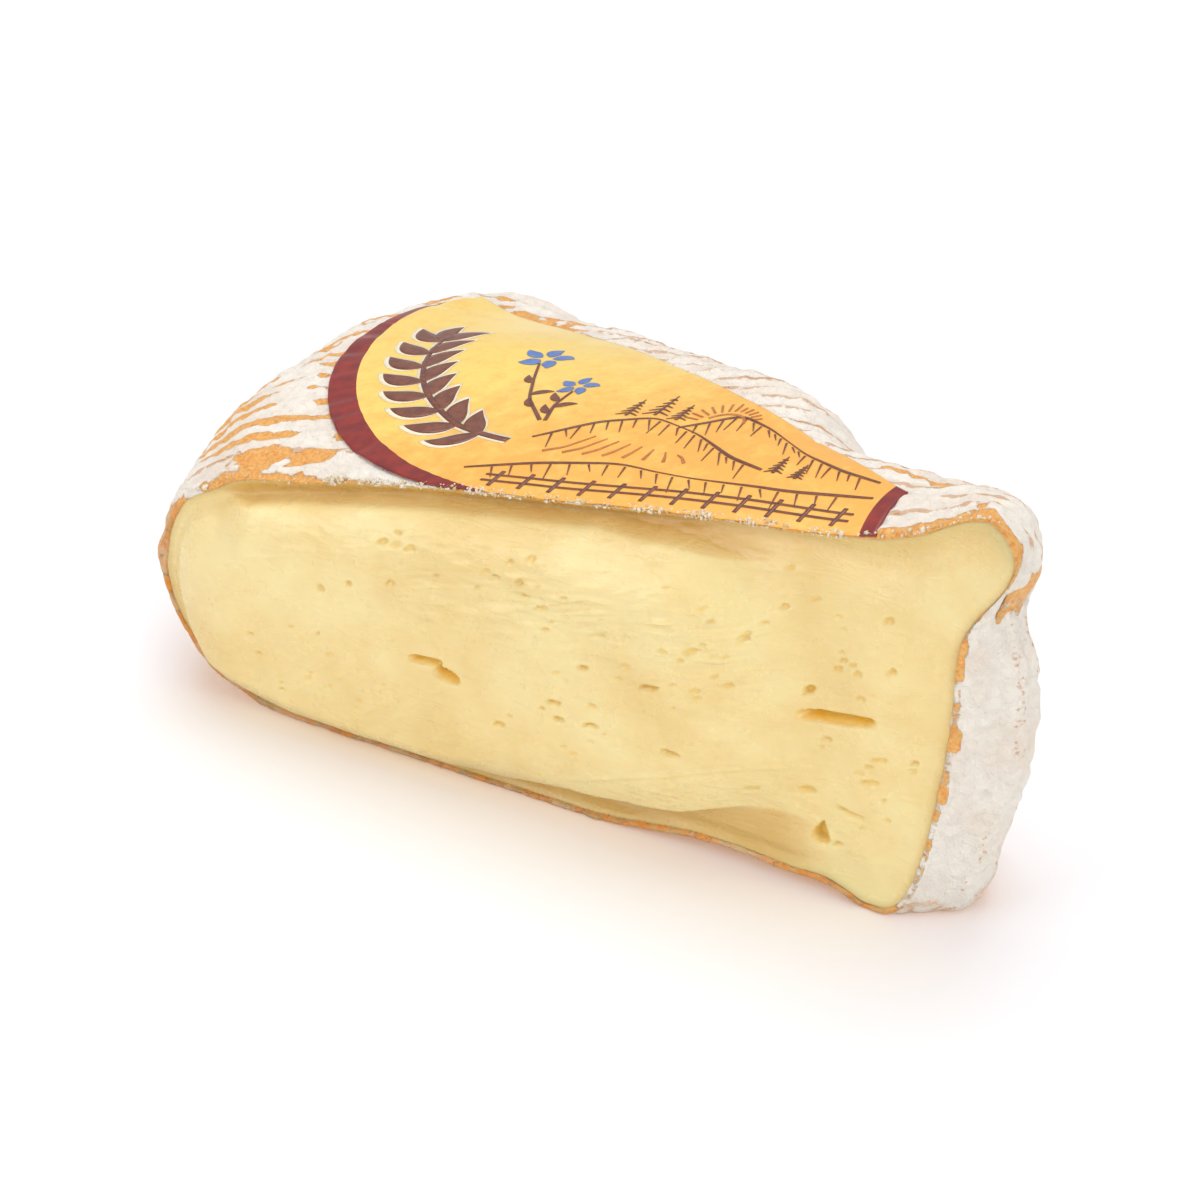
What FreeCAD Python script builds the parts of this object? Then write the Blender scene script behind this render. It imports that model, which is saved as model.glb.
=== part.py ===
import FreeCAD, Part
import math
import os

# A wedge of soft, bloomy-rind cheese with part of a round paper label on its top.
# X runs along the cut face from the rounded rim to the blunt hub end, Y runs from the cut
# face to the back, Z is up. The origin is the middle of the resting face. Millimetres.

# Cut face: the outline of the wedge where the knife went through
LENGTH = 110.0          # rim to the outermost point of the hub end
HUB_HEIGHT = 53.2       # top corner of the hub end
RIM_HEIGHT = 31.0       # top of the cut where the rounded rim ends
NOSE_HEIGHT = 17.5      # widest point of the rounded rim
NOSE_OVER = 14.0        # length of the rim's rounding above its widest point
NOSE_UNDER = 17.0       # length of the rim's rounding below its widest point
NECK_DROP = 6.4         # top of the cut just before the hub corner, below HUB_HEIGHT
NECK_BACK = 18.0        # that place, back from the hub end
CORNER_OVERHANG = 5.8   # how far the top corner stands out over the waist
WAIST_DROP = 22.2       # height of the waist, below HUB_HEIGHT
FOOT_BACK = 13.0        # heel of the hub end on the table, back from LENGTH
TOE_BACK = 10.0         # toe of the hub end just above the heel, back from LENGTH
TOE_HEIGHT = 4.5
ARCH_RISE = 1.5         # the underside lifts off the table near the hub end
ARCH_BACK = 26.0        # middle of that arch, back from LENGTH
SINK = 0.4              # how far the rounded underside is planed flat to rest on

# Depth: from the cut face to the flat of the back
RIM_DEPTH = 72.0        # measured at the rim
HUB_DEPTH = 15.0        # measured at the hub end
BACK_BULGE = 2.9        # sideways swelling of the long back
CROWN = 1.3             # rise of the top behind the cut
RIM_BULGE = 6.8         # the rim swells outward behind the cut
HUB_BELLY = 7.2         # the lower hub end swells outward behind the cut
BELLY_BACK = 30.0       # where the belly starts, back from LENGTH
BELLY_RUN = 18.0        # length over which it grows
BELLY_DROP = 21.2       # where it starts to fade upwards, below HUB_HEIGHT
BELLY_FADE = 16.0       # height over which it fades

# Centre line that the rings of rind shrink towards, and how round their shoulders are
CORE_START = 33.0
CORE_START_HEIGHT = 17.0
CORE_END_BACK = 17.5    # back from LENGTH
CORE_END_HEIGHT = 22.0
BACK_FLAT = 0.6         # share of the ring left where the rounding meets the flat of the back
SWELL_POWER = 0.8       # below 1, the swellings peak nearer to the cut than to the back
TOP_POWER = 2.4
UNDER_POWER = 6.0
RIM_POWER = 2.5
HUB_POWER = 2.6
CORNER_POWER = 1.4
RING_COUNT = 11

# Paste: sunk a little inside the rind, and swollen out of the cut in one long pillow
RIND_LEDGE = 1.4        # rind left standing round the sunken paste
PASTE_SINK = 1.0
PILLOW_START = 4.5      # from the rim
PILLOW_END_BACK = 24.0  # back from LENGTH
PILLOW_TOP_MARGIN = 3.2 # below the top of the cut
PILLOW_UNDER_MARGIN = 3.0
PILLOW_SWELL = 3.4
PILLOW_POINTS = 28
PILLOW_POWER = 2.6

# Larger cavities in the paste: back from LENGTH, height, length, opening, tilt in degrees
CAVITIES = (
    (68.7, 16.3, 6.2, 2.0, 1.0),
    (20.4, 23.6, 8.8, 1.5, 18.0),
    (21.7, 8.2, 3.2, 2.0, 80.0),
    (18.1, 11.9, 4.0, 1.0, -9.0),
)
CAVITY_DEPTH = 4.0

# Label: a round paper disc, trimmed along the cut, along the back and around the hub
LABEL_RADIUS = 41.0
LABEL_RIM_MARGIN = 4.0    # rind left between the rim and the label
LABEL_CENTRE_Y = 42.0
LABEL_BACK_MARGIN = 12.0  # between the straight back edge of the label and the flat of the back
LABEL_END_BACK = 16.5     # end of the label, back from LENGTH
LABEL_END_RADIUS = 30.0
LABEL_THICKNESS = 0.2


def smooth(value):
    """Blend from 0 to 1 with level ends."""
    limited = min(max(value, 0.0), 1.0)
    return limited * limited * (3.0 - 2.0 * limited)


def quarter(centre, across, up, start, steps):
    """Points along a quarter ellipse about centre, beginning at the angle start in degrees."""
    points = []
    for step in range(steps):
        angle = math.radians(start - 90.0 * step / steps)
        points.append((centre[0] + across * math.cos(angle), centre[1] + up * math.sin(angle)))
    return points


def top_height(x):
    """Height of the top of the cut at x, between the rim's rounding and the neck."""
    neck_x = LENGTH - NECK_BACK
    share = min(max((x - NOSE_OVER) / (neck_x - NOSE_OVER), 0.0), 1.0)
    return RIM_HEIGHT + share ** 0.85 * (HUB_HEIGHT - NECK_DROP - RIM_HEIGHT)


def hub_outline():
    """Hub end of the cut, from the top corner over the waist down to the toe."""
    waist_x = LENGTH - CORNER_OVERHANG
    waist_z = HUB_HEIGHT - WAIST_DROP
    points = [
        (LENGTH - 0.5 * NECK_BACK, HUB_HEIGHT - 0.4 * NECK_DROP),
        (LENGTH - 0.45 * CORNER_OVERHANG, HUB_HEIGHT),
        (LENGTH, HUB_HEIGHT - 0.45 * NECK_DROP),
        (LENGTH - 0.25 * CORNER_OVERHANG, HUB_HEIGHT - 1.35 * NECK_DROP),
        (waist_x + 0.1 * CORNER_OVERHANG, HUB_HEIGHT - 0.68 * WAIST_DROP),
        (waist_x, waist_z),
    ]
    for share in (0.2, 0.45, 0.75, 1.0):
        inward = share ** 1.7 * (LENGTH - TOE_BACK - waist_x)
        points.append((waist_x + inward, waist_z + share * (TOE_HEIGHT - waist_z)))
    return points


def cut_outline():
    """Outline of the cut as (x, z), from the rim over the top and back along the underside."""
    over = quarter((NOSE_OVER, NOSE_HEIGHT), NOSE_OVER, RIM_HEIGHT - NOSE_HEIGHT, 180.0, 3)
    top = []
    for share in (0.0, 0.2, 0.5, 0.8, 1.0):
        x = NOSE_OVER + share * (LENGTH - NECK_BACK - NOSE_OVER)
        top.append((x, top_height(x)))
    arch_end = LENGTH - 2.0 * ARCH_BACK
    rest = [
        (LENGTH - FOOT_BACK, 0.0),
        (LENGTH - ARCH_BACK, ARCH_RISE - SINK),
        (arch_end, -SINK),
        (0.5 * (arch_end + NOSE_UNDER), -SINK),
    ]
    under = quarter((NOSE_UNDER, NOSE_HEIGHT), NOSE_UNDER, NOSE_HEIGHT, 270.0, 3)
    return over + top + hub_outline() + rest + under


def core_point(x):
    """Point of the centre line that belongs to the outline point at x."""
    end = LENGTH - CORE_END_BACK
    share = min(max((x - CORE_START) / (end - CORE_START), 0.0), 1.0)
    eased = 0.5 * (share + smooth(share))
    height = CORE_START_HEIGHT + eased * (CORE_END_HEIGHT - CORE_START_HEIGHT)
    return CORE_START + eased * (end - CORE_START), height


def back_depth(x):
    """Distance from the cut to the plane of the back at x."""
    return RIM_DEPTH + (HUB_DEPTH - RIM_DEPTH) * x / LENGTH


def belly_share(x, z):
    """How much of the hub end's belly the outline point at (x, z) takes part in."""
    lengthwise = smooth((x - LENGTH + BELLY_BACK) / BELLY_RUN)
    upwards = smooth((z - HUB_HEIGHT + BELLY_DROP) / BELLY_FADE)
    return lengthwise * (1.0 - upwards)


def rind_point(outline_x, outline_z, depth_share):
    """Point of the rind behind one outline point, at a share of the way to the back."""
    core_x, core_z = core_point(outline_x)
    reach = math.hypot(outline_x - core_x, outline_z - core_z)
    across = (outline_x - core_x) / reach
    rise = (outline_z - core_z) / reach
    above = max(rise, 0.0)
    below = max(-rise, 0.0)
    rimward = max(-across, 0.0)
    hubward = max(across, 0.0)
    cornerward = 4.0 * above ** 2 * hubward ** 2
    power = TOP_POWER * above ** 2 + UNDER_POWER * below ** 2
    power += RIM_POWER * rimward ** 2 + HUB_POWER * hubward ** 2
    power += (CORNER_POWER - power) * cornerward
    rounding = max(1.0 - depth_share ** power, 0.0) ** (1.0 / power)
    swell = math.sin(math.pi * depth_share ** SWELL_POWER)
    scale = BACK_FLAT + (1.0 - BACK_FLAT) * rounding
    scale += swell * RIM_BULGE / CORE_START * rimward * (1.0 - 0.6 * below)
    x = core_x + scale * (outline_x - core_x) + HUB_BELLY * swell * belly_share(outline_x, outline_z)
    z = core_z + scale * (outline_z - core_z) + CROWN * swell * above ** 2
    lengthwise = min(max(x / LENGTH, 0.0), 1.0)
    y = depth_share * back_depth(x) + BACK_BULGE * swell * math.sin(math.pi * lengthwise)
    return FreeCAD.Vector(x, y, z)


def closed_wire(points):
    """Closed smooth curve through the points."""
    curve = Part.BSplineCurve()
    curve.interpolate(Points=points, PeriodicFlag=True)
    return Part.Wire([curve.toShape()])


def rind_block():
    """The whole wedge without its paste detail: rings of rind lofted from the cut to the back."""
    outline = cut_outline()
    rings = []
    for number in range(RING_COUNT):
        depth_share = math.sin(0.5 * math.pi * number / (RING_COUNT - 1))
        rings.append(closed_wire([rind_point(x, z, depth_share) for x, z in outline]))
    block = Part.makeLoft(rings, True, False)
    planed = Part.makeBox(3.0 * LENGTH, 3.0 * RIM_DEPTH, HUB_HEIGHT)
    planed.translate(FreeCAD.Vector(-LENGTH, -RIM_DEPTH, -HUB_HEIGHT))
    return block.cut(planed)


def paste_recess():
    """Block to cut away so that the paste lies inside a standing edge of rind."""
    points = []
    for x, z in cut_outline():
        core_x, core_z = core_point(x)
        reach = math.hypot(x - core_x, z - core_z)
        keep = (reach - RIND_LEDGE) / reach
        points.append(FreeCAD.Vector(core_x + keep * (x - core_x), 0.0, core_z + keep * (z - core_z)))
    face = Part.Face(closed_wire(points))
    face.translate(FreeCAD.Vector(0.0, -PASTE_SINK, 0.0))
    return face.extrude(FreeCAD.Vector(0.0, 2.0 * PASTE_SINK, 0.0))


def pillow_ring(scale, y):
    """One closed ring of the swollen paste at depth y, inside the outline of the cut."""
    half_length = 0.5 * (LENGTH - PILLOW_END_BACK - PILLOW_START)
    points = []
    for number in range(PILLOW_POINTS):
        angle = 2.0 * math.pi * number / PILLOW_POINTS
        cosine = math.cos(angle)
        sine = math.sin(angle)
        across = scale * math.copysign(abs(cosine) ** (2.0 / PILLOW_POWER), cosine)
        rise = scale * math.copysign(abs(sine) ** (2.0 / PILLOW_POWER), sine)
        x = PILLOW_START + half_length * (1.0 + across)
        top = top_height(x) - PILLOW_TOP_MARGIN
        half_height = 0.5 * (top - PILLOW_UNDER_MARGIN)
        points.append(FreeCAD.Vector(x, y, top - half_height * (1.0 - rise)))
    return closed_wire(points)


def paste_pillow():
    """Paste swollen out of the cut, rounded off towards its flat middle."""
    steps = ((1.0, 2.0 * PASTE_SINK), (1.0, 0.0), (0.96, -0.5), (0.86, -0.8), (0.7, -1.0))
    rings = []
    for scale, share in steps:
        y = share * PILLOW_SWELL if share < 0.0 else share
        rings.append(pillow_ring(scale, y))
    return Part.makeLoft(rings, True, False)


def cavity(back, height, length, opening, tilt):
    """Flattened hollow left by gas or by the knife, open at the cut."""
    axis = FreeCAD.Vector(0.0, 1.0, 0.0)
    ellipse = Part.Ellipse(FreeCAD.Vector(0.0, 0.0, 0.0), 0.5 * length, 0.5 * opening).toShape()
    ellipse.rotate(FreeCAD.Vector(0.0, 0.0, 0.0), FreeCAD.Vector(1.0, 0.0, 0.0), 90.0)
    ellipse.rotate(FreeCAD.Vector(0.0, 0.0, 0.0), axis, -tilt)
    ellipse.translate(FreeCAD.Vector(LENGTH - back, -PILLOW_SWELL - PASTE_SINK, height))
    face = Part.Face(Part.Wire([ellipse]))
    return face.extrude(FreeCAD.Vector(0.0, PILLOW_SWELL + PASTE_SINK + CAVITY_DEPTH, 0.0))


def cheese(block):
    """The finished cheese: rind, sunken and swollen paste, and its larger cavities."""
    shape = block.cut(paste_recess())
    shape = shape.fuse(paste_pillow())
    for values in CAVITIES:
        shape = shape.cut(cavity(*values))
    return shape.removeSplitter()


def label_outline():
    """Plan of the trimmed label as a prism taller than the cheese."""
    tall = 3.0 * HUB_HEIGHT
    centre_x = LABEL_RIM_MARGIN + LABEL_RADIUS
    end_x = LENGTH - LABEL_END_BACK
    outline = Part.makeCylinder(LABEL_RADIUS, tall, FreeCAD.Vector(centre_x, LABEL_CENTRE_Y, 0.0))
    tongue = Part.makeBox(end_x - centre_x, LABEL_CENTRE_Y, tall)
    tongue.translate(FreeCAD.Vector(centre_x, 0.0, 0.0))
    outline = outline.fuse(tongue)
    hub = Part.makeCylinder(LABEL_END_RADIUS, tall, FreeCAD.Vector(end_x + LABEL_END_RADIUS, 0.0, 0.0))
    before_cut = Part.makeBox(3.0 * LENGTH, RIM_DEPTH, tall, FreeCAD.Vector(-LENGTH, -RIM_DEPTH, 0.0))
    behind = Part.makeBox(4.0 * LENGTH, 3.0 * RIM_DEPTH, tall, FreeCAD.Vector(-2.0 * LENGTH, 0.0, 0.0))
    back_angle = math.degrees(math.atan2(HUB_DEPTH - RIM_DEPTH, LENGTH))
    behind.rotate(FreeCAD.Vector(0.0, 0.0, 0.0), FreeCAD.Vector(0.0, 0.0, 1.0), back_angle)
    behind.translate(FreeCAD.Vector(0.0, RIM_DEPTH - LABEL_BACK_MARGIN, 0.0))
    return outline.cut([hub, before_cut, behind])


def label(block):
    """Paper of even thickness lying on the top of the cheese."""
    raised = block.copy()
    raised.translate(FreeCAD.Vector(0.0, 0.0, LABEL_THICKNESS))
    prism = label_outline()
    prism.translate(FreeCAD.Vector(0.0, 0.0, 0.5 * NOSE_HEIGHT))
    return raised.common(prism).cut(block)


def plan_centre(shape):
    """Middle of the shape in plan, from its fine mesh."""
    vertices = shape.tessellate(0.05)[0]
    xs = [vertex.x for vertex in vertices]
    ys = [vertex.y for vertex in vertices]
    return FreeCAD.Vector(0.5 * (min(xs) + max(xs)), 0.5 * (min(ys) + max(ys)), 0.0)


def write_parts():
    """Build every piece about the middle of the resting face and write one file for each."""
    block = rind_block()
    pieces = {"cheese_wedge": cheese(block), "paper_label": label(block)}
    centre = plan_centre(pieces["cheese_wedge"])
    os.makedirs("parts", exist_ok=True)
    for name, shape in pieces.items():
        shape.translate(centre.negative())
        solids = shape.Solids
        litres = shape.Volume / 1.0e6
        print(name, "solids", len(solids), "valid", shape.isValid(), "litres", round(litres, 5))
        if len(solids) != 1:
            raise RuntimeError(name + " is not one solid")
        solids[0].exportStep(os.path.join("parts", name + ".step"))


write_parts()
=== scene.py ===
"""A wedge of soft, bloomy-rind cheese with part of a round paper label on its top.

Shapes are worked out in millimetres in the wedge's own plan: X runs along the cut from the rounded
rim to the hub end, Y from the cut to the back, Z up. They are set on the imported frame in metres.
"""
import logging
import math
from dataclasses import dataclass
from enum import Enum
from functools import cached_property

import bpy
import numpy as np
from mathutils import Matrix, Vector


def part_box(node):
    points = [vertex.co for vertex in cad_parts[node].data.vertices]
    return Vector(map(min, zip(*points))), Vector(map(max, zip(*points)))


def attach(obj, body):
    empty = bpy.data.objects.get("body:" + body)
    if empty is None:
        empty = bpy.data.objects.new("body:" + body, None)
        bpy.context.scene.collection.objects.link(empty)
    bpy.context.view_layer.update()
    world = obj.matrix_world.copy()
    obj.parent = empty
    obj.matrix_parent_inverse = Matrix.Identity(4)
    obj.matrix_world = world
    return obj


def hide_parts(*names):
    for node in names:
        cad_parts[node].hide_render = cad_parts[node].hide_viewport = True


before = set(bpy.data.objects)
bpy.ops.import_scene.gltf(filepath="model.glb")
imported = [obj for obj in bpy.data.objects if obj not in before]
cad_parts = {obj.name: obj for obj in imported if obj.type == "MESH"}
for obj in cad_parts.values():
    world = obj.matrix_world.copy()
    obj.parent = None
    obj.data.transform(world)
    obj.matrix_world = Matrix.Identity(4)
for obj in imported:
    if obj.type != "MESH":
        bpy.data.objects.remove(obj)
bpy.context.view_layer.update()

MM = 0.001

Array = np.ndarray
Socket = bpy.types.NodeSocket
Colour = tuple[int, int, int]
# Two coordinates of the same places, and the points and quads of a printed stroke.
Plane = tuple[Array, Array]
Stroke = tuple[Array, Array]

log = logging.getLogger("cheese")


class Piece(Enum):
    """Names of the pieces."""

    RIND = "rind_shell"
    PASTE = "paste_body"
    PAPER = "label_sheet"
    INK = "label_ink"
    PALE_INK = "label_pale_ink"
    BLUE_INK = "label_blue_ink"
    TAN_INK = "label_tan_ink"
    CRUMBS = "rind_crumbs"


class Slot(Enum):
    """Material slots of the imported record."""

    PASTE = "cheese_paste"
    RIND = "cheese_rind"
    LABEL = "label_paper"


class Node(Enum):
    """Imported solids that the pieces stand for."""

    CHEESE = "cheese_wedge"
    LABEL = "paper_label"


def smooth(value: Array) -> Array:
    """Blend from 0 to 1 with level ends: 3t^2 - 2t^3 of the value held between 0 and 1."""
    held = np.clip(value, 0.0, 1.0)
    return held * held * (3.0 - 2.0 * held)


def ramp(value: Array, start: float, run: float) -> Array:
    """Smooth rise from 0 at the start to 1 after the run, which is negative for a fall."""
    return smooth((value - start) / run)


def hump(value: Array, middle: Array | float, width: Array | float) -> Array:
    """Bell of height 1 about the middle: exp(-((value - middle) / width)^2)."""
    return np.exp(-(((value - middle) / width) ** 2))


def swell_rise(value: Array) -> Array:
    """Quarter of a sine: rises fast from 0 and levels out at 1."""
    return np.sin(0.5 * math.pi * np.clip(value, 0.0, 1.0))


def linear(colour: Colour) -> tuple[float, float, float, float]:
    """Turn a display colour of 0 to 255 into the linear colour that shaders use.

    Args:
        colour: red, green and blue as seen on a screen.
    Returns:
        Linear red, green, blue and an alpha of 1.
    """
    shares = np.array(colour) / 255.0
    curve = np.where(shares <= 0.04045, shares / 12.92, ((shares + 0.055) / 1.055) ** 2.4)
    return (*curve.tolist(), 1.0)


class LatticeNoise:
    """Smooth seeded noise: random values on a repeating cubic lattice, blended between its corners."""

    def __init__(self, seed: int, side: int = 48) -> None:
        """Draw the lattice.

        Args:
            seed: makes the same lattice each time.
            side: corners along each edge of the repeating block.
        """
        self.side = side
        self.values = np.random.default_rng(seed).random((side, side, side)) * 2.0 - 1.0

    def at(self, x: Array, y: Array | float, z: Array | float, cell: float) -> Array:
        """Value between -1 and 1: the eight corners about each point, weighted by smooth shares.

        Args:
            x, y, z: places in millimetres.
            cell: distance between lattice corners, in millimetres.
        Returns:
            One value for each place.
        """
        places = [np.asarray(axis, dtype=float) / cell for axis in np.broadcast_arrays(x, y, z)]
        corners = [np.floor(place).astype(int) for place in places]
        shares = [smooth(place - corner) for place, corner in zip(places, corners)]
        total = np.zeros(places[0].shape)
        for step_x in (0, 1):
            for step_y in (0, 1):
                for step_z in (0, 1):
                    steps = (step_x, step_y, step_z)
                    index = [(corner + step) % self.side for corner, step in zip(corners, steps)]
                    weight = 1.0
                    for share, step in zip(shares, steps):
                        weight = weight * (share if step else 1.0 - share)
                    total += weight * self.values[tuple(index)]
        return total

    def fractal(
        self, x: Array, y: Array | float, z: Array | float, cell: float, octaves: int = 3
    ) -> Array:
        """Sum of noises, each half as large and half as strong as the one before.

        Args:
            x, y, z: places in millimetres.
            cell: cell of the largest noise.
            octaves: how many noises.
        Returns:
            One value for each place, about -1 to 1.
        """
        total = np.zeros(np.broadcast(x, y, z).shape)
        for octave in range(octaves):
            shift = 17.3 * octave
            total += 0.5**octave * self.at(x + shift, y + shift, z - shift, cell * 0.5**octave)
        return total / 1.5


class ClosedSpline:
    """Smooth closed curve through a few points.

    Each span is a cubic over its chord length. The second derivatives M at the points solve
    h0*M0 + 2*(h0 + h1)*M1 + h1*M2 = 6*(slope1 - slope0) all the way round.
    """

    def __init__(self, points: Array) -> None:
        """Solve for the bends at the points.

        Args:
            points: one row for each point, in order round the curve.
        """
        following = np.roll(points, -1, axis=0)
        self.points = points
        self.spans = np.linalg.norm(following - points, axis=1)
        self.knots = np.concatenate(([0.0], np.cumsum(self.spans)))
        before = np.roll(self.spans, 1)
        slopes = (following - points) / self.spans[:, None]
        count = len(points)
        rows = np.arange(count)
        system = np.diag(2.0 * (before + self.spans))
        system[rows, (rows + 1) % count] += self.spans
        system[rows, (rows - 1) % count] += before
        self.bends = np.linalg.solve(system, 6.0 * (slopes - np.roll(slopes, 1, axis=0)))

    def at(self, lengths: Array) -> Array:
        """Points at chord lengths along the curve, wrapping past its end.

        Args:
            lengths: chord lengths, which may pass the curve's end.
        Returns:
            One point for each length.
        """
        wrapped = np.mod(lengths, self.knots[-1])
        count = len(self.points)
        index = np.clip(np.searchsorted(self.knots, wrapped, side="right") - 1, 0, count - 1)
        following = (index + 1) % count
        span = self.spans[index][:, None]
        left = (wrapped - self.knots[index])[:, None]
        right = span - left
        curved = (self.bends[index] * right**3 + self.bends[following] * left**3) / (6.0 * span)
        start = (self.points[index] / span - self.bends[index] * span / 6.0) * right
        end = (self.points[following] / span - self.bends[following] * span / 6.0) * left
        return curved + start + end

    def length_to(self, number: float) -> float:
        """Chord length up to a point's number, which may lie between two points.

        Args:
            number: point number, counted on past the last point.
        Returns:
            The length.
        """
        whole = int(math.floor(number))
        laps, place = divmod(whole, len(self.points))
        return laps * self.knots[-1] + self.knots[place] + (number - whole) * self.spans[place]

    def stretch(self, start: float, end: float, count: int) -> Array:
        """Evenly spaced points between two point numbers.

        Args:
            start, end: point numbers, which may lie between two points.
            count: how many points, both ends included.
        Returns:
            The points, equal distances apart along the curve.
        """
        fine = self.at(np.linspace(self.length_to(start), self.length_to(end), 8 * count))
        steps = np.linalg.norm(np.diff(fine, axis=0), axis=1)
        run = np.concatenate(([0.0], np.cumsum(steps)))
        places = np.linspace(0.0, run[-1], count)
        return np.stack([np.interp(places, run, fine[:, axis]) for axis in range(2)], axis=1)


@dataclass(frozen=True)
class Nudge:
    """A soft dent or swelling: where on the outline and how far back, how wide, and its move."""

    x: float
    z: float
    share: float
    wide_x: float
    wide_z: float
    wide_share: float
    move_x: float
    move_z: float

    def weight(self, out_x: Array, out_z: Array, share: Array | float) -> Array:
        """Strength at outline points and shares: three bells multiplied."""
        near = hump(out_x, self.x, self.wide_x) * hump(out_z, self.z, self.wide_z)
        return near * hump(share, self.share, self.wide_share)


@dataclass(frozen=True)
class WedgeForm:
    """Driving sizes of the wedge, in millimetres, and the smooth shape that they make."""

    length: float = 110.0
    hub_height: float = 53.2
    rim_height: float = 31.0
    nose_height: float = 17.5
    nose_over: float = 14.0
    nose_under: float = 17.0
    neck_drop: float = 6.4
    neck_back: float = 18.0
    corner_overhang: float = 5.8
    waist_drop: float = 22.2
    foot_back: float = 13.0
    toe_back: float = 10.0
    toe_height: float = 4.5
    arch_rise: float = 1.5
    arch_back: float = 26.0
    sink: float = 0.4
    rim_depth: float = 72.0
    hub_depth: float = 15.0
    back_bulge: float = 2.9
    crown: float = 1.3
    rim_bulge: float = 6.8
    hub_belly: float = 7.2
    belly_back: float = 30.0
    belly_run: float = 18.0
    belly_drop: float = 21.2
    belly_fade: float = 16.0
    core_start: float = 33.0
    core_start_height: float = 17.0
    core_end_back: float = 17.5
    core_end_height: float = 22.0
    back_flat: float = 0.6
    swell_power: float = 0.8
    top_power: float = 2.4
    under_power: float = 6.0
    rim_power: float = 2.5
    hub_power: float = 2.6
    corner_power: float = 1.4
    pillow_swell: float = 3.4

    nudges = (
        Nudge(6.5, 28.8, 0.0, 4.5, 4.0, 0.22, 0.7, -1.1),
        Nudge(3.0, 26.0, 0.45, 9.0, 8.0, 0.28, 0.9, -0.8),
        Nudge(18.0, 33.0, 0.88, 14.0, 9.0, 0.25, 0.3, -1.5),
        Nudge(0.8, 22.0, 0.10, 7.0, 6.0, 0.13, 1.3, -0.3),
        Nudge(64.0, 42.5, 0.82, 15.0, 9.0, 0.30, 0.0, 2.2),
        Nudge(80.0, 45.0, 0.88, 7.0, 9.0, 0.28, 0.0, -4.4),
        Nudge(90.0, 1.2, 0.0, 4.6, 6.0, 0.12, 0.0, 1.9),
        Nudge(93.0, 48.0, 0.75, 7.0, 8.0, 0.35, 0.8, -0.5),
        Nudge(107.0, 53.0, 0.60, 6.0, 5.0, 0.40, 0.2, -2.3),
        Nudge(110.0, 46.0, 0.60, 6.0, 5.0, 0.40, 1.6, -0.8),
        Nudge(105.5, 38.0, 0.70, 4.0, 4.0, 0.40, -0.7, -0.8),
        Nudge(99.0, 8.0, 0.70, 9.0, 9.0, 0.42, -2.6, 0.0),
    )

    def top_height(self, x: Array) -> Array:
        """Height of the top of the cut: a power curve from the rim's rounding to the neck.

        Args:
            x: places along the cut.
        Returns:
            Heights.
        """
        neck = self.length - self.neck_back
        share = np.clip((x - self.nose_over) / (neck - self.nose_over), 0.0, 1.0)
        return self.rim_height + share**0.85 * (self.hub_height - self.neck_drop - self.rim_height)

    def quarter(self, middle: float, across: float, up: float, start: float) -> list[tuple]:
        """Three points a third of a quarter apart on an ellipse about (middle, nose_height).

        Args:
            middle: the ellipse's middle along the cut.
            across, up: its half sizes.
            start: angle of the first point, in degrees.
        Returns:
            The points.
        """
        angles = np.radians(start - 30.0 * np.arange(3))
        points = zip(middle + across * np.cos(angles), self.nose_height + up * np.sin(angles))
        return list(points)

    def hub_points(self) -> list[tuple]:
        """Points of the hub end, from the top corner over the waist down to the toe.

        Returns:
            The points, in order.
        """
        waist = self.length - self.corner_overhang
        waist_height = self.hub_height - self.waist_drop
        points = [
            (self.length - 0.5 * self.neck_back, self.hub_height - 0.4 * self.neck_drop),
            (self.length - 0.45 * self.corner_overhang, self.hub_height),
            (self.length, self.hub_height - 0.45 * self.neck_drop),
            (self.length - 0.25 * self.corner_overhang, self.hub_height - 1.35 * self.neck_drop),
            (waist + 0.1 * self.corner_overhang, self.hub_height - 0.68 * self.waist_drop),
            (waist, waist_height),
        ]
        for share in (0.2, 0.45, 0.75, 1.0):
            inward = share**1.7 * (self.length - self.toe_back - waist)
            points.append((waist + inward, waist_height + share * (self.toe_height - waist_height)))
        return points

    def cut_outline(self) -> ClosedSpline:
        """Outline of the cut from the rim over the top, down the hub end and back underneath.

        Returns:
            The closed curve.
        """
        up = self.rim_height - self.nose_height
        over = self.quarter(self.nose_over, self.nose_over, up, 180.0)
        run = self.length - self.neck_back - self.nose_over
        tops = self.nose_over + np.array([0.0, 0.2, 0.5, 0.8, 1.0]) * run
        arch_end = self.length - 2.0 * self.arch_back
        rest = [
            (self.length - self.foot_back, 0.0),
            (self.length - self.arch_back, self.arch_rise - self.sink),
            (arch_end, -self.sink),
            (0.5 * (arch_end + self.nose_under), -self.sink),
        ]
        under = self.quarter(self.nose_under, self.nose_under, self.nose_height, 270.0)
        top = list(zip(tops, self.top_height(tops)))
        return ClosedSpline(np.array(over + top + self.hub_points() + rest + under))

    def core(self, x: Array) -> Plane:
        """Point of the centre line that belongs to the outline point at x.

        Args:
            x: places along the cut.
        Returns:
            Place along the cut and height of the centre line.
        """
        end = self.length - self.core_end_back
        share = np.clip((x - self.core_start) / (end - self.core_start), 0.0, 1.0)
        eased = 0.5 * (share + smooth(share))
        height = self.core_start_height + eased * (self.core_end_height - self.core_start_height)
        return self.core_start + eased * (end - self.core_start), height

    def back_depth(self, x: Array) -> Array:
        """Distance from the cut to the slanting plane of the back."""
        return self.rim_depth + (self.hub_depth - self.rim_depth) * x / self.length

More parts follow.
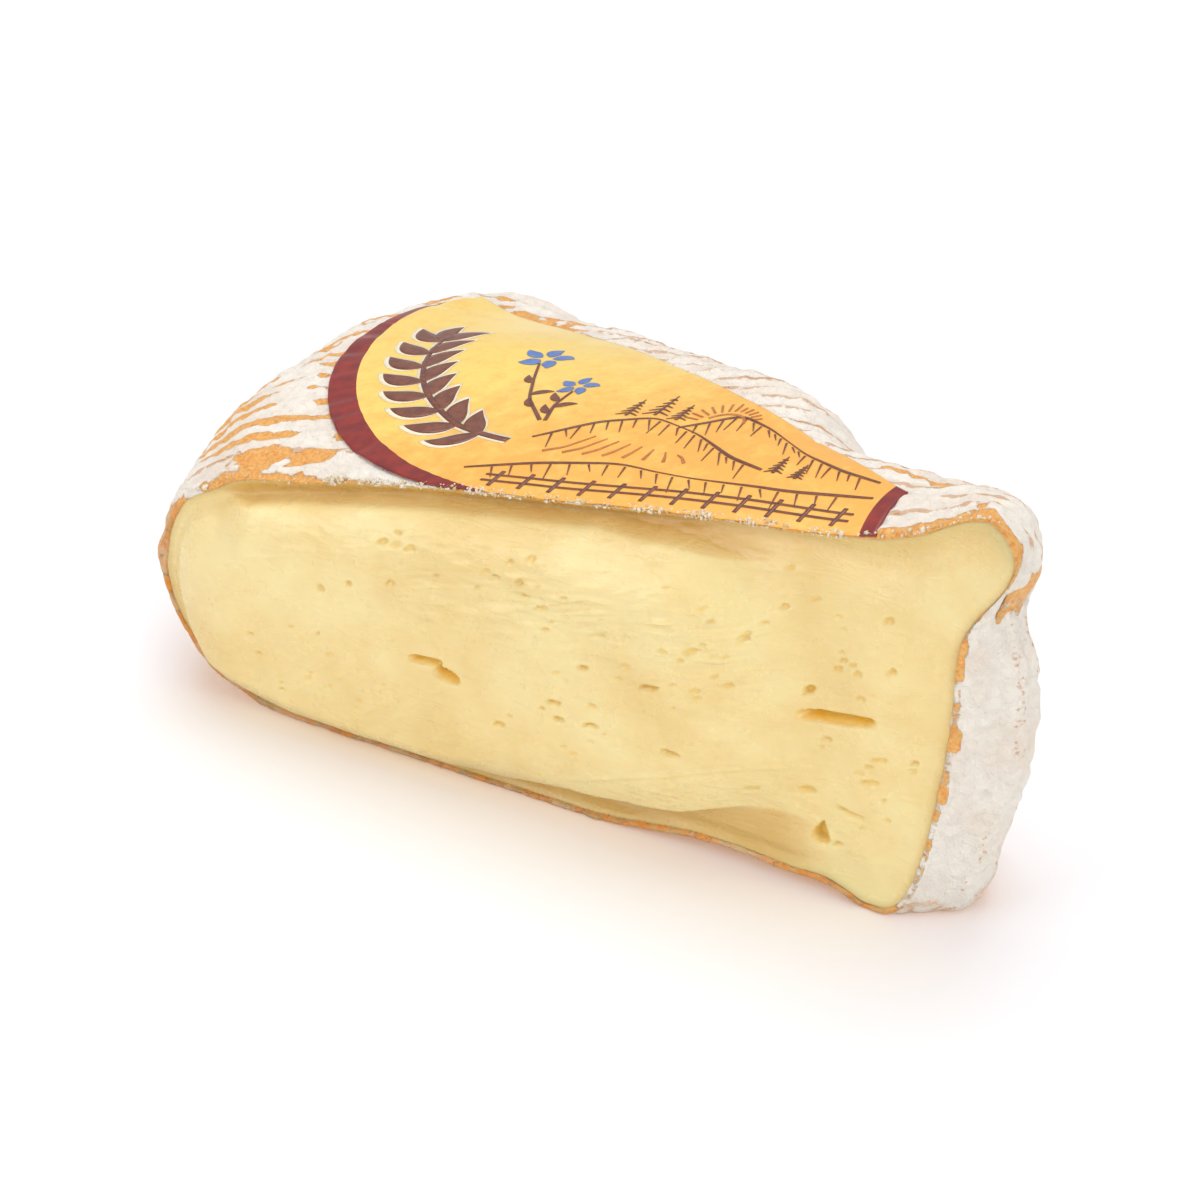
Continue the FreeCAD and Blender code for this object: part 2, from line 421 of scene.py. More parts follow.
    def shrunk(self, x: Array, z: Array, inset: Array) -> Plane:
        """Outline points moved towards the centre line by a distance.

        Args:
            x, z: outline points.
            inset: distance of the move.
        Returns:
            The moved points.
        """
        core_x, core_z = self.core(x)
        reach = np.hypot(x - core_x, z - core_z)
        keep = (reach - inset) / reach
        return core_x + keep * (x - core_x), core_z + keep * (z - core_z)

    def nudged(
        self, x: Array, z: Array, out_x: Array, out_z: Array, share: Array | float
    ) -> Plane:
        """Points moved by the soft dents and swellings.

        Args:
            x, z: points to move.
            out_x, out_z: their outline points.
            share: 0 at the cut and 1 at the back.
        Returns:
            The moved points.
        """
        for nudge in self.nudges:
            weight = nudge.weight(out_x, out_z, share)
            x, z = x + nudge.move_x * weight, z + nudge.move_z * weight
        return x, z

    def rind(self, out_x: Array, out_z: Array, share: Array) -> tuple[Array, Array, Array]:
        """Points of the rind behind the outline points, at a share of the way to the back.

        The outline shrinks towards the centre line as (1 - share^p)^(1/p), with a power p for the
        top, underside, rim, hub and top corner, down to back_flat of itself. A sine of the share
        swells the rim, the hub's belly, the crown and the back.

        Args:
            out_x, out_z: outline points.
            share: 0 at the cut and 1 at the back.
        Returns:
            x, y and z of the points.
        """
        core_x, core_z = self.core(out_x)
        reach = np.hypot(out_x - core_x, out_z - core_z)
        across = (out_x - core_x) / reach
        rise = (out_z - core_z) / reach
        above, below = np.clip(rise, 0.0, 1.0), np.clip(-rise, 0.0, 1.0)
        rimward, hubward = np.clip(-across, 0.0, 1.0), np.clip(across, 0.0, 1.0)
        power = self.top_power * above**2 + self.under_power * below**2
        power = power + self.rim_power * rimward**2 + self.hub_power * hubward**2
        power = power + (self.corner_power - power) * 4.0 * above**2 * hubward**2
        rounding = np.clip(1.0 - share**power, 0.0, 1.0) ** (1.0 / power)
        swell = np.sin(math.pi * share**self.swell_power)
        scale = self.back_flat + (1.0 - self.back_flat) * rounding
        scale = scale + swell * self.rim_bulge / self.core_start * rimward * (1.0 - 0.6 * below)
        belly = smooth((out_x - self.length + self.belly_back) / self.belly_run)
        belly = belly * (1.0 - smooth((out_z - self.hub_height + self.belly_drop) / self.belly_fade))
        x = core_x + scale * (out_x - core_x) + self.hub_belly * swell * belly
        z = core_z + scale * (out_z - core_z) + self.crown * swell * above**2
        x, z = self.nudged(x, z, out_x, out_z, share)
        along = np.clip(x / self.length, 0.0, 1.0)
        y = share * self.back_depth(x) + self.back_bulge * swell * np.sin(math.pi * along)
        return x, y, z


class TopMap:
    """Height of the smooth top of the wedge over its plan, on a square grid."""

    def __init__(self, form: WedgeForm, step: float = 0.5) -> None:
        """Cut the rind into rows, read each at even places along x, then each column at even y.

        Args:
            form: the wedge.
            step: side of the grid's squares in millimetres.
        """
        outline = form.cut_outline()
        upper = outline.stretch(0.0, 10.0, 500)
        self.step = step
        self.x = np.arange(-8.0, form.length + 8.0, step)
        self.y = np.arange(-2.0, form.rim_depth + 4.0, step)
        shares = np.sin(0.5 * math.pi * np.linspace(0.0, 1.0, 60))
        depths = np.zeros((len(shares), len(self.x)))
        heights = np.zeros_like(depths)
        for row, share in enumerate(shares):
            x, y, z = form.rind(upper[:, 0], upper[:, 1], np.full(len(upper), share))
            rising = np.maximum.accumulate(x) + 1e-6 * np.arange(len(x))
            depths[row] = np.interp(self.x, rising, y)
            heights[row] = np.interp(self.x, rising, z)
        self.height = np.zeros((len(self.x), len(self.y)))
        for column in range(len(self.x)):
            line = np.maximum.accumulate(depths[:, column])
            self.height[column] = np.interp(self.y, line, heights[:, column])

    def at(self, x: Array, y: Array) -> Array:
        """Height at places in plan, blended between the four grid corners round each.

        Args:
            x, y: places in plan.
        Returns:
            Heights.
        """
        across = np.clip((x - self.x[0]) / self.step, 0.0, len(self.x) - 1.001)
        along = np.clip((y - self.y[0]) / self.step, 0.0, len(self.y) - 1.001)
        column, row = across.astype(int), along.astype(int)
        right, far = across - column, along - row
        near_side = self.height[column, row] * (1 - right) + self.height[column + 1, row] * right
        far_side = self.height[column, row + 1] * (1 - right) + self.height[column + 1, row + 1] * right
        return near_side * (1 - far) + far_side * far


@dataclass(frozen=True)
class LabelPlan:
    """Plan of the trimmed label in millimetres: a disc cut by the knife, the back and the hub."""

    middle_x: float = 45.4
    middle_y: float = 37.9
    radius: float = 38.7
    back_start: float = 60.0
    back_fall: float = 0.55
    back_hump: float = 2.4
    hub_middle_x: float = 122.9
    hub_middle_y: float = 7.6
    hub_radius: float = 30.0

    def front(self, x: Array) -> Array:
        """Front edge at x: the lower half of the disc's rim, and the cut where that passes it.

        Args:
            x: places along the cut.
        Returns:
            y of the edge.
        """
        half = np.sqrt(np.clip(self.radius**2 - (x - self.middle_x) ** 2, 0.0, None))
        arc = self.middle_y - half
        return np.where(x < self.middle_x, np.clip(arc, 0.0, None), 0.0)

    def back(self, x: Array) -> Array:
        """Back edge at x: the lower of the disc's rim and a slanting line with a slight hump.

        Args:
            x: places along the cut.
        Returns:
            y of the edge.
        """
        half = np.sqrt(np.clip(self.radius**2 - (x - self.middle_x) ** 2, 0.0, None))
        line = self.back_start - self.back_fall * x + self.back_hump * hump(x, 42.0, 14.0)
        return np.where(x < self.middle_x, np.minimum(self.middle_y + half, line), line)

    def hub(self, y: Array) -> Array:
        """Right edge at y: the near side of the hub's circle."""
        off = np.clip(y - self.hub_middle_y, -self.hub_radius, self.hub_radius)
        return self.hub_middle_x - np.sqrt(self.hub_radius**2 - off**2)

    def cover(self, x: Array, y: Array, fade: float = 1.0) -> Array:
        """1 under the label and 0 outside it, blending over the fade.

        Args:
            x, y: places in plan.
            fade: width of the blend.
        Returns:
            Share for each place.
        """
        inside = np.minimum(y - self.front(x) + 0.6, self.back(x) - y)
        inside = np.minimum(inside, self.hub(y) - x)
        return smooth(inside / fade + 0.5) * (x > self.middle_x - self.radius)


class Placing:
    """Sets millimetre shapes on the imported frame."""

    def __init__(self, form: WedgeForm) -> None:
        """Match the middle of the form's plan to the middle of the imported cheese.

        Args:
            form: the wedge.
        """
        low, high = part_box(Node.CHEESE.value)
        outline = form.cut_outline().stretch(0.0, 25.0, 400)
        shares = np.linspace(0.0, 1.0, 60)[:, None]
        x, y, _ = form.rind(outline[:, 0], outline[:, 1], shares)
        self.middle = np.array([0.5 * (x.min() + x.max()), 0.5 * (y.max() - form.pillow_swell), 0.0])
        self.origin = np.array([0.5 * (low[0] + high[0]), 0.5 * (low[1] + high[1]), low[2]])

    def metres(self, points: Array) -> Array:
        """Move millimetre points onto the frame."""
        return (points - self.middle) * MM + self.origin


def grid_faces(rows: int, columns: int, wrapped: bool, first: int = 0) -> Array:
    """Quads between the points of a grid, row after row.

    Args:
        rows, columns: points each way.
        wrapped: join the last column to the first.
        first: number of the grid's first point.
    Returns:
        Four point numbers for each quad.
    """
    across = columns if wrapped else columns - 1
    row, column = np.meshgrid(np.arange(rows - 1), np.arange(across), indexing="ij")
    following = (column + 1) % columns
    corners = (row * columns + column, row * columns + following)
    quads = np.stack([corners[0], corners[1], corners[1] + columns, corners[0] + columns], axis=-1)
    return first + quads.reshape(-1, 4)


def pole_faces(ring: Array, pole: int, flipped: bool) -> Array:
    """Triangles from each side of a ring to one pole point.

    Args:
        ring: numbers of the ring's points in order.
        pole: number of the pole point.
        flipped: turn the triangles over.
    Returns:
        Three point numbers for each triangle.
    """
    following = np.roll(ring, -1)
    middle = np.full(len(ring), pole)
    order = (following, ring, middle) if flipped else (ring, following, middle)
    return np.stack(order, axis=1)


class PieceMaker:
    """Makes finished objects at the origin, with their place in their mesh."""

    def __init__(self, placing: Placing) -> None:
        """Keep the placing for every piece."""
        self.placing = placing

    def make(
        self,
        name: Piece,
        points: Array,
        faces: list[Array],
        material: bpy.types.Material,
        tints: dict[str, Array] | None = None,
        smooth_groups: int = 99,
    ) -> bpy.types.Object:
        """Make one piece from points in millimetres and groups of faces.

        Args:
            name: the piece.
            points: one row for each point.
            faces: groups of quads or triangles as arrays of point numbers.
            material: its finish.
            tints: values for each point, kept as colour attributes.
            smooth_groups: how many of the first face groups are shaded smooth.
        Returns:
            The object, linked and riding on the root body.
        """
        mesh = bpy.data.meshes.new(name.value)
        loops = np.concatenate([group.ravel() for group in faces]).astype(np.int32)
        sizes = np.concatenate([np.full(len(group), group.shape[1]) for group in faces])
        starts = np.concatenate(([0], np.cumsum(sizes)[:-1])).astype(np.int32)
        mesh.vertices.add(len(points))
        mesh.vertices.foreach_set("co", self.placing.metres(points).astype(np.float32).ravel())
        mesh.loops.add(len(loops))
        mesh.loops.foreach_set("vertex_index", loops)
        mesh.polygons.add(len(sizes))
        mesh.polygons.foreach_set("loop_start", starts)
        rounded = [np.full(len(group), place < smooth_groups) for place, group in enumerate(faces)]
        mesh.polygons.foreach_set("use_smooth", np.concatenate(rounded))
        mesh.update(calc_edges=True)
        for key, values in (tints or {}).items():
            layer = mesh.attributes.new(key, "FLOAT_COLOR", "POINT")
            filled = np.ones((len(points), 4), dtype=np.float32)
            filled[:, : values.shape[1]] = values
            layer.data.foreach_set("color", filled.ravel())
        mesh.validate()
        mesh.materials.append(material)
        piece = bpy.data.objects.new(name.value, mesh)
        bpy.context.scene.collection.objects.link(piece)
        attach(piece, "root")
        log.info("%s: %d points, %d faces", name.value, len(points), len(sizes))
        return piece


class NodeBoard:
    """Adds and links the nodes of a material or the world, with patterns measured in millimetres."""

    def __init__(self, owner: bpy.types.ID) -> None:
        """Start with no nodes.

        Args:
            owner: the new material or world.
        """
        owner.use_nodes = True
        self.owner = owner
        self.tree = owner.node_tree
        self.tree.nodes.clear()

    @cached_property
    def place(self) -> Socket:
        """Object coordinates."""
        return self.node("ShaderNodeTexCoord").outputs["Object"]

    def node(self, kind: str, **settings: object) -> bpy.types.Node:
        """Add a node and set its own properties.

        Args:
            kind: Blender's name for the node.
            settings: its properties.
        Returns:
            The node.
        """
        made = self.tree.nodes.new(kind)
        for key, value in settings.items():
            setattr(made, key, value)
        return made

    def feed(self, socket: Socket, value: object) -> None:
        """Link a socket to the input, or set the input to a constant."""
        if isinstance(value, bpy.types.NodeSocket):
            self.tree.links.new(value, socket)
        else:
            socket.default_value = value

    def stretched(self, scale: tuple[float, float, float], turn: float = 0.0) -> Socket:
        """Object coordinates turned about Z by degrees and scaled along each axis.

        Args:
            scale: factor along each axis.
            turn: degrees about Z.
        Returns:
            Vector socket.
        """
        mapping = self.node("ShaderNodeMapping")
        self.feed(mapping.inputs["Vector"], self.place)
        mapping.inputs["Rotation"].default_value = (0.0, 0.0, math.radians(turn))
        mapping.inputs["Scale"].default_value = scale
        return mapping.outputs["Vector"]

    def noise(
        self,
        cell: float,
        detail: float = 3.0,
        rough: float = 0.5,
        twist: float = 0.0,
        at: Socket | None = None,
    ) -> Socket:
        """Noise with features about one cell across.

        Args:
            cell: size of a feature in millimetres.
            detail: finer layers added.
            rough: strength of the finer layers.
            twist: distortion.
            at: coordinates, the object's own when left out.
        Returns:
            Value socket, about 0 to 1.
        """
        made = self.node("ShaderNodeTexNoise")
        self.feed(made.inputs["Vector"], at or self.place)
        made.inputs["Scale"].default_value = 1.0 / (cell * MM)
        made.inputs["Detail"].default_value = detail
        made.inputs["Roughness"].default_value = rough
        made.inputs["Distortion"].default_value = twist
        return made.outputs["Fac"]

    def math(self, operation: str, first: object, second: object = 0.0, clamped: bool = False) -> Socket:
        """One sum of two values.

        Args:
            operation: Blender's name for the sum.
            first, second: values or sockets.
            clamped: hold the result between 0 and 1.
        Returns:
            Value socket.
        """
        made = self.node("ShaderNodeMath", operation=operation, use_clamp=clamped)
        self.feed(made.inputs[0], first)
        self.feed(made.inputs[1], second)
        return made.outputs[0]

    def between(self, value: object, low: float, high: float) -> Socket:
        """0 below low and 1 above high, with a smooth blend between them.

        Args:
            value: value or socket.
            low, high: ends of the blend.
        Returns:
            Value socket.
        """
        made = self.node("ShaderNodeMapRange", interpolation_type="SMOOTHSTEP")
        self.feed(made.inputs["Value"], value)
        made.inputs["From Min"].default_value = low
        made.inputs["From Max"].default_value = high
        return made.outputs["Result"]

    def levels(self, value: object, low: float, high: float) -> Socket:
        """Spread a value of 0 to 1 over the range from low to high.

        Args:
            value: value or socket.
            low, high: results at 0 and 1.
        Returns:
            Value socket.
        """
        made = self.node("ShaderNodeMapRange")
        self.feed(made.inputs["Value"], value)
        made.inputs["To Min"].default_value = low
        made.inputs["To Max"].default_value = high
        return made.outputs["Result"]

    def blend(self, factor: object, first: object, second: object) -> Socket:
        """Mix two colours, given as sockets or display colours.

        Args:
            factor: share of the second.
            first, second: the colours.
        Returns:
            Colour socket.
        """
        made = self.node("ShaderNodeMix", data_type="RGBA")
        self.feed(made.inputs[0], factor)
        for socket, value in ((made.inputs[6], first), (made.inputs[7], second)):
            self.feed(socket, linear(value) if isinstance(value, tuple) else value)
        return made.outputs[2]

    def over(self, share: object, strength: float, under: object, colour: Colour) -> Socket:
        """Lay a colour over another, as thick as the share times the strength."""
        return self.blend(self.math("MULTIPLY", share, strength), under, colour)

    def tint(self, name: str) -> tuple[Socket, Socket, Socket]:
        """The three channels of a colour attribute.

        Args:
            name: the attribute.
        Returns:
            Three value sockets.
        """
        attribute = self.node("ShaderNodeAttribute", attribute_name=name)
        parts = self.node("ShaderNodeSeparateColor")
        self.feed(parts.inputs[0], attribute.outputs["Color"])
        return parts.outputs[0], parts.outputs[1], parts.outputs[2]

    def bump(
        self, height: Socket, depth: float, strength: float = 1.0, under: Socket | None = None
    ) -> Socket:
        """Bend the surface's normal by a height.

        Args:
            height: height of the pattern, 0 to 1.
            depth: what a height of 1 stands for, in millimetres.
            strength: share of the bend.
            under: a normal that is bent already.
        Returns:
            Normal socket.
        """
        made = self.node("ShaderNodeBump")
        made.inputs["Strength"].default_value = strength
        made.inputs["Distance"].default_value = depth * MM
        self.feed(made.inputs["Height"], height)
        if under is not None:
            self.feed(made.inputs["Normal"], under)
        return made.outputs["Normal"]

    def finish(self, **inputs: object) -> bpy.types.Material:
        """Join everything to one principled shader.

        Args:
            inputs: the shader's inputs, with underscores for the spaces in their names.
        Returns:
            The material.
        """
        shader = self.node("ShaderNodeBsdfPrincipled")
        for key, value in inputs.items():
            self.feed(shader.inputs[key.replace("_", " ")], value)
        self.feed(self.node("ShaderNodeOutputMaterial").inputs["Surface"], shader.outputs[0])
        return self.owner


@dataclass(frozen=True)
class PasteFinish:
    """Pale yellow, moist paste: light scatters in it, and painted shade in a deeper gold lies in the
    eyes, along the rind and in the recesses.
    """

    pale: Colour = (251, 229, 168)
    plain: Colour = (238, 209, 140)
    # deep: the tone of the specks, and the painted shade along the rind and in the recesses.
    deep: Colour = (216, 170, 84)
    # Painted shade: the deeper gold laid inside the eyes.
    eye_shade: Colour = (252, 204, 66)

    def material(self) -> bpy.types.Material:
        """Build the nodes: slow cloudy colour, painted gold shade at the edges, in the recesses and in
        the eyes, smeared gloss and fine bumps.

        Returns:
            The material.
        """
        board = NodeBoard(bpy.data.materials.new("cheese_paste"))
        eye_shade, edge, smear = board.tint("depth")
        cloud = board.noise(16.0, 4.0, 0.55)
        base = board.blend(board.between(cloud, 0.3, 0.7), self.plain, self.pale)
        speck = board.noise(1.1, 4.0, 0.6)
        base = board.over(board.between(speck, 0.56, 0.75), 0.10, base, self.deep)
        # Painted shade: deeper gold along the rind, in the recess under the top and on the lips' steps.
        base = board.over(edge, 0.75, base, self.deep)
        # Painted shade: deeper gold inside the eyes, stronger in the deeper ones.
        base = board.blend(eye_shade, base, self.eye_shade)
        streaks = board.noise(1.4, 5.0, 0.6, 1.5, board.stretched((0.28, 1.0, 1.0)))
        fine = board.noise(0.35, 3.0, 0.6)
        gloss = board.levels(board.noise(5.0, 4.0, 0.6), 0.14, 0.42)
        normal = board.bump(fine, 0.015)
        strength = board.math("MULTIPLY", streaks, board.levels(smear, 0.35, 1.0))
        normal = board.bump(strength, 0.22, 1.0, normal)
        return board.finish(
            Base_Color=base,
            Roughness=gloss,
            Normal=normal,
            Subsurface_Weight=0.4,
            Subsurface_Radius=(1.0, 0.72, 0.4),
            Subsurface_Scale=1.1 * MM,
            Specular_IOR_Level=0.6,
        )


@dataclass(frozen=True)
class RindFinish:
    """White mould over orange-brown rind, worn through on the ridges and along the cut."""

    mould: Colour = (255, 246, 235)
    mould_shade: Colour = (247, 233, 218)
    orange: Colour = (252, 196, 118)
    orange_deep: Colour = (242, 158, 76)
    crust: Colour = (222, 180, 120)
    line: Colour = (222, 178, 142)

    def material(self) -> bpy.types.Material:
        """Build the nodes: mould, orange wear broken up by noise, tan crust, faint lines and fuzz.

        Returns:
            The material.
        """
        board = NodeBoard(bpy.data.materials.new("cheese_rind"))
        bare, crust, line = board.tint("wear")
        patch = board.noise(7.0, 4.0, 0.6)
        white = board.blend(board.between(patch, 0.35, 0.7), self.mould, self.mould_shade)
        breakup = board.noise(1.0, 5.0, 0.65, 0.4)
        grit = board.noise(0.45, 4.0, 0.6)
        worn = board.blend(board.between(grit, 0.35, 0.7), self.orange, self.orange_deep)
        tan = board.between(board.noise(1.6, 4.0), 0.35, 0.65)
        crusted = board.blend(tan, self.crust, self.orange_deep)
        grains = board.levels(board.noise(0.62, 4.0, 0.6), -1.3, 1.3)
        line_cover = board.between(board.math("ADD", line, grains), 0.40, 0.75)
        line_cover = board.math("MULTIPLY", line_cover, board.between(line, 0.05, 0.3))
        colour = board.over(line_cover, 0.85, white, self.line)
        ragged = board.math("ADD", bare, board.levels(breakup, -0.75, 0.75))
        bare_cover = board.between(ragged, 0.36, 0.64)
        colour = board.blend(bare_cover, colour, worn)
        ragged = board.math("ADD", crust, board.levels(breakup, -0.5, 0.5))
        crust_cover = board.between(ragged, 0.3, 0.7)
        colour = board.over(crust_cover, 0.85, colour, crusted)
        fuzz = board.noise(0.28, 4.0, 0.7)
        lumps = board.noise(1.3, 5.0, 0.65, 0.6)
        normal = board.bump(fuzz, 0.15)
        normal = board.bump(lumps, 0.65, 0.9, normal)
        normal = board.bump(board.math("SUBTRACT", 1.0, bare_cover), 0.22, 0.8, normal)
        covered = board.math("MAXIMUM", bare_cover, crust_cover)
        return board.finish(
            Base_Color=colour,
            Roughness=board.levels(covered, 0.86, 0.5),
            Normal=normal,
            Subsurface_Weight=0.12,
            Subsurface_Radius=(1.0, 0.7, 0.45),
            Subsurface_Scale=0.8 * MM,
            Specular_IOR_Level=0.35,
        )


@dataclass(frozen=True)
class PaperFinish:
    """Glossy printed paper: a maroon band round a field that warms from yellow to orange."""

    maroon: Colour = (152, 40, 30)
    maroon_dark: Colour = (126, 30, 28)
    yellow: Colour = (255, 219, 114)
    amber: Colour = (251, 183, 80)
    # pale: the paper's fibres, and the painted sheen of glare towards the back.
    pale: Colour = (236, 212, 152)
    stain: Colour = (246, 166, 74)

    def material(self) -> bpy.types.Material:
        """Build the nodes: band from an attribute, warm gradient, parchment mottling, a painted pale
        sheen towards the back and soft gloss.

        Returns:
            The material.
        """
        board = NodeBoard(bpy.data.materials.new("label_paper"))
        band, warmth, painted_sheen = board.tint("print")
        mottle = board.noise(3.2, 5.0, 0.7)
        fibre = board.noise(0.6, 4.0, 0.6, 0.0, board.stretched((1.0, 0.35, 1.0), 24.0))
        turned = board.math("ADD", warmth, board.levels(mottle, -1.1, 1.1), True)
        field = board.blend(turned, self.yellow, self.amber)
        field = board.over(board.between(fibre, 0.5, 0.8), 0.18, field, self.pale)
        stain = board.between(board.noise(1.7, 5.0, 0.72, 0.5), 0.5, 0.72)
        stain = board.math("MULTIPLY", stain, board.levels(warmth, 0.18, 0.5))
        field = board.blend(stain, field, self.stain)
        # Painted sheen: the field turns pale towards the back, as glare on glossy paper curving away.
        field = board.over(painted_sheen, 0.6, field, self.pale)
        uneven = board.between(board.noise(2.0, 4.0), 0.35, 0.65)
        red = board.blend(uneven, self.maroon, self.maroon_dark)
        colour = board.blend(board.between(band, 0.45, 0.55), field, red)
        normal = board.bump(mottle, 0.05)
        normal = board.bump(fibre, 0.012, 0.7, normal)
        return board.finish(
            Base_Color=colour,
            Roughness=board.levels(mottle, 0.30, 0.46),
            Normal=normal,
            Specular_IOR_Level=0.5,
            Coat_Weight=0.25,
            Coat_Roughness=0.18,
        )


@dataclass(frozen=True)
class InkFinish:
    """A printed colour, slightly uneven, with the gloss of the paper under it."""

    name: str
    colour: Colour
    shade: Colour

    def material(self) -> bpy.types.Material:
        """Build the nodes: two close tones mixed by noise, with a faint grain.

        Returns:
            The material.
        """
        board = NodeBoard(bpy.data.materials.new(self.name))
        tone = board.noise(1.2, 4.0, 0.6)
        colour = board.blend(board.between(tone, 0.35, 0.65), self.colour, self.shade)
        return board.finish(
            Base_Color=colour,
            Roughness=board.levels(tone, 0.34, 0.46),
            Normal=board.bump(tone, 0.01),
            Coat_Weight=0.2,
            Coat_Roughness=0.2,
        )


@dataclass(frozen=True)
class Patch:
    """An oval of wear or mould on the rind: its middle and half sizes in millimetres."""

    x: float
    y: float
    z: float
    half_x: float
    half_y: float
    half_z: float
    turn: float = 0.0

    def share(self, x: Array, y: Array, z: Array, ragged: Array) -> Array:
        """1 inside the oval and 0 outside, with an edge moved by ragged.

        Args:
            x, y, z: places in millimetres.
            ragged: shift of the edge, as a share of the oval.
        Returns:
            Share for each place.
        """
        cosine, sine = math.cos(math.radians(self.turn)), math.sin(math.radians(self.turn))
        along = (cosine * (x - self.x) + sine * (y - self.y)) / self.half_x
        across = (-sine * (x - self.x) + cosine * (y - self.y)) / self.half_y
        distance = np.sqrt(along**2 + across**2 + ((z - self.z) / self.half_z) ** 2)
        return smooth((1.0 - distance + ragged) / 0.35)


@dataclass(frozen=True)
class RindShell:
    """Rind: ridged mould outside, a ragged edge at the cut and an inner wall behind the paste.

    In its formulas ramp(x, 36.0, -10.0) and the like say where a feature starts and over what run
    it comes or goes, in millimetres along the cut (x), back from it (y) and up (z).
    """

    form: WedgeForm
    plan: LabelPlan
    columns: int = 600
    near_rows: int = 52
    far_rows: int = 40
    shoulder_rows: int = 14
    cap_rows: int = 34
    near_share: float = 0.34
    far_share: float = 0.9
    first_share: float = 0.0035
    ridge_pitch: float = 3.5
    ridge_height: float = 0.42
    crease_depth: float = 1.3
    back_dome: float = 0.3
    inner_inset: float = 2.0
    wall_foot: float = 0.7
    seed: int = 11

    # Inner wall: shares of the way to the back. Lip: share of the rind's thickness, and how far back.
    wall_shares = (0.9, 0.8, 0.7, 0.6, 0.5, 0.4, 0.31, 0.23, 0.16, 0.1)
    lip_rows = ((1.25, 4.0), (1.12, 2.0), (1.02, 0.8), (0.94, 0.3), (0.72, 0.04), (0.4, -0.06))
    bare_patches = (
        Patch(12.8, 3.2, 31.5, 5.6, 2.8, 6.0, 12.0),
        Patch(19.6, 4.3, 33.8, 2.8, 2.3, 6.0),
        Patch(21.0, 50.0, 32.0, 10.0, 2.6, 6.0, -24.0),
        Patch(92.5, 14.4, 46.0, 8.5, 1.1, 5.0, -14.0),
        Patch(98.5, 1.0, 50.5, 9.0, 1.6, 6.0, 4.0),
        Patch(104.5, 3.3, 53.3, 0.9, 0.7, 2.0),
        Patch(108.6, 4.6, 42.6, 1.8, 1.5, 1.2),
        Patch(105.4, 0.1, 35.5, 2.0, 0.16, 3.4),
        Patch(104.6, 0.1, 25.0, 1.8, 0.26, 1.6),
        Patch(102.6, 0.1, 18.0, 1.8, 0.28, 1.4),
        Patch(100.4, 0.1, 11.0, 1.6, 0.34, 2.6),
    )
    mould_patches = (
        Patch(23.6, 2.6, 34.3, 3.2, 2.8, 4.0),
        Patch(5.0, 1.6, 27.5, 2.6, 1.8, 3.0),
        Patch(97.5, 4.6, 49.5, 4.0, 2.2, 4.0),
        Patch(103.2, 3.2, 6.0, 3.0, 3.0, 6.0),
        Patch(79.0, 0.5, 1.0, 4.5, 1.5, 2.0),
    )

    def edge_thickness(self, x: Array, z: Array) -> Array:
        """Thickness of the rind at the cut: thin under the label, thick round the rim and hub.

        Args:
            x, z: outline points.
        Returns:
            Millimetres for each point.
        """
        rim = ramp(x, 16.0, -12.0)
        hub = ramp(x, 100.0, 4.0) + ramp(x, 88.0, 8.0) * ramp(z, 30.0, 10.0)
        below = ramp(z, 12.0, -8.0)
        thick = 0.45 + 0.55 * rim + 0.30 * np.clip(hub, 0.0, 1.0) + 0.30 * below
        noise = LatticeNoise(self.seed + 1)
        return thick * (1.0 + 0.30 * noise.fractal(x, 0.0, z, 3.0))

    def ridge_phase(self, x: Array, y: Array) -> Array:
        """Turns of the draining rack's ridges: even in y, bent forward at the rim, slanting behind."""
        bent = y + 5.5 * np.exp(-np.clip(x, 0.0, None) / 9.0) - 0.36 * np.clip(x - 45.0, 0.0, 42.0)
        return bent / self.ridge_pitch + 0.23

    def wear(self, x: Array, y: Array, z: Array, noise: LatticeNoise) -> tuple[Array, ...]:
        """Where the mould is worn to orange, crusted, or marked by faint lines, and the ridges.

        Args:
            x, y, z: places in millimetres.
            noise: seeded noise.
        Returns:
            Bare share, crust share, line share and ridge height for each place.
        """
        phase = self.ridge_phase(x, y) + 0.14 * noise.at(x, y, z, 7.0)
        ridge = 0.5 + 0.5 * np.cos(2.0 * math.pi * phase)
        row = np.round(phase)
        dashes = noise.at(x + 31.0 * row, 13.7 * row, z, 4.6) + 0.4 * noise.at(x, y, z, 1.6)
        # Worn stripes: on the slope of the rim, along the ridges, broken into dashes.
        slope = ramp(x, 36.0, -10.0) * ramp(y, 5.0, 2.5) * ramp(z, 20.0, 8.0)
        slope = slope * (1.0 - 0.25 * ramp(y, 34.0, 12.0))
        bare = slope * smooth((ridge - 0.76 + 0.42 * smooth((dashes + 0.4) / 0.8)) / 0.24)
        bare = bare * smooth((dashes + 0.52) / 0.30)
        # Faint lines: along the ridges everywhere else, and specks on the face of the hub end.
        elsewhere = 1.0 - slope
        faint = elsewhere * ramp(ridge, 0.78, 0.18) * smooth((dashes + 0.45) / 0.5)
        faint = faint * ramp(y, 1.8, 1.2)
        face = ramp(x, 97.0, 4.0) * (1.0 - ramp(z, 42.0, 5.0))
        specks = ramp(ridge, 0.60, 0.3) * smooth((noise.at(x, y, 0.6 * z, 1.4) + 0.25) / 0.5)
        faint = faint * (1.0 - face) + 0.42 * face * specks * ramp(y, 1.2, 1.0)
        bare = bare + (0.5 - 0.2 * face) * faint * ramp(dashes, 0.2, 0.3)
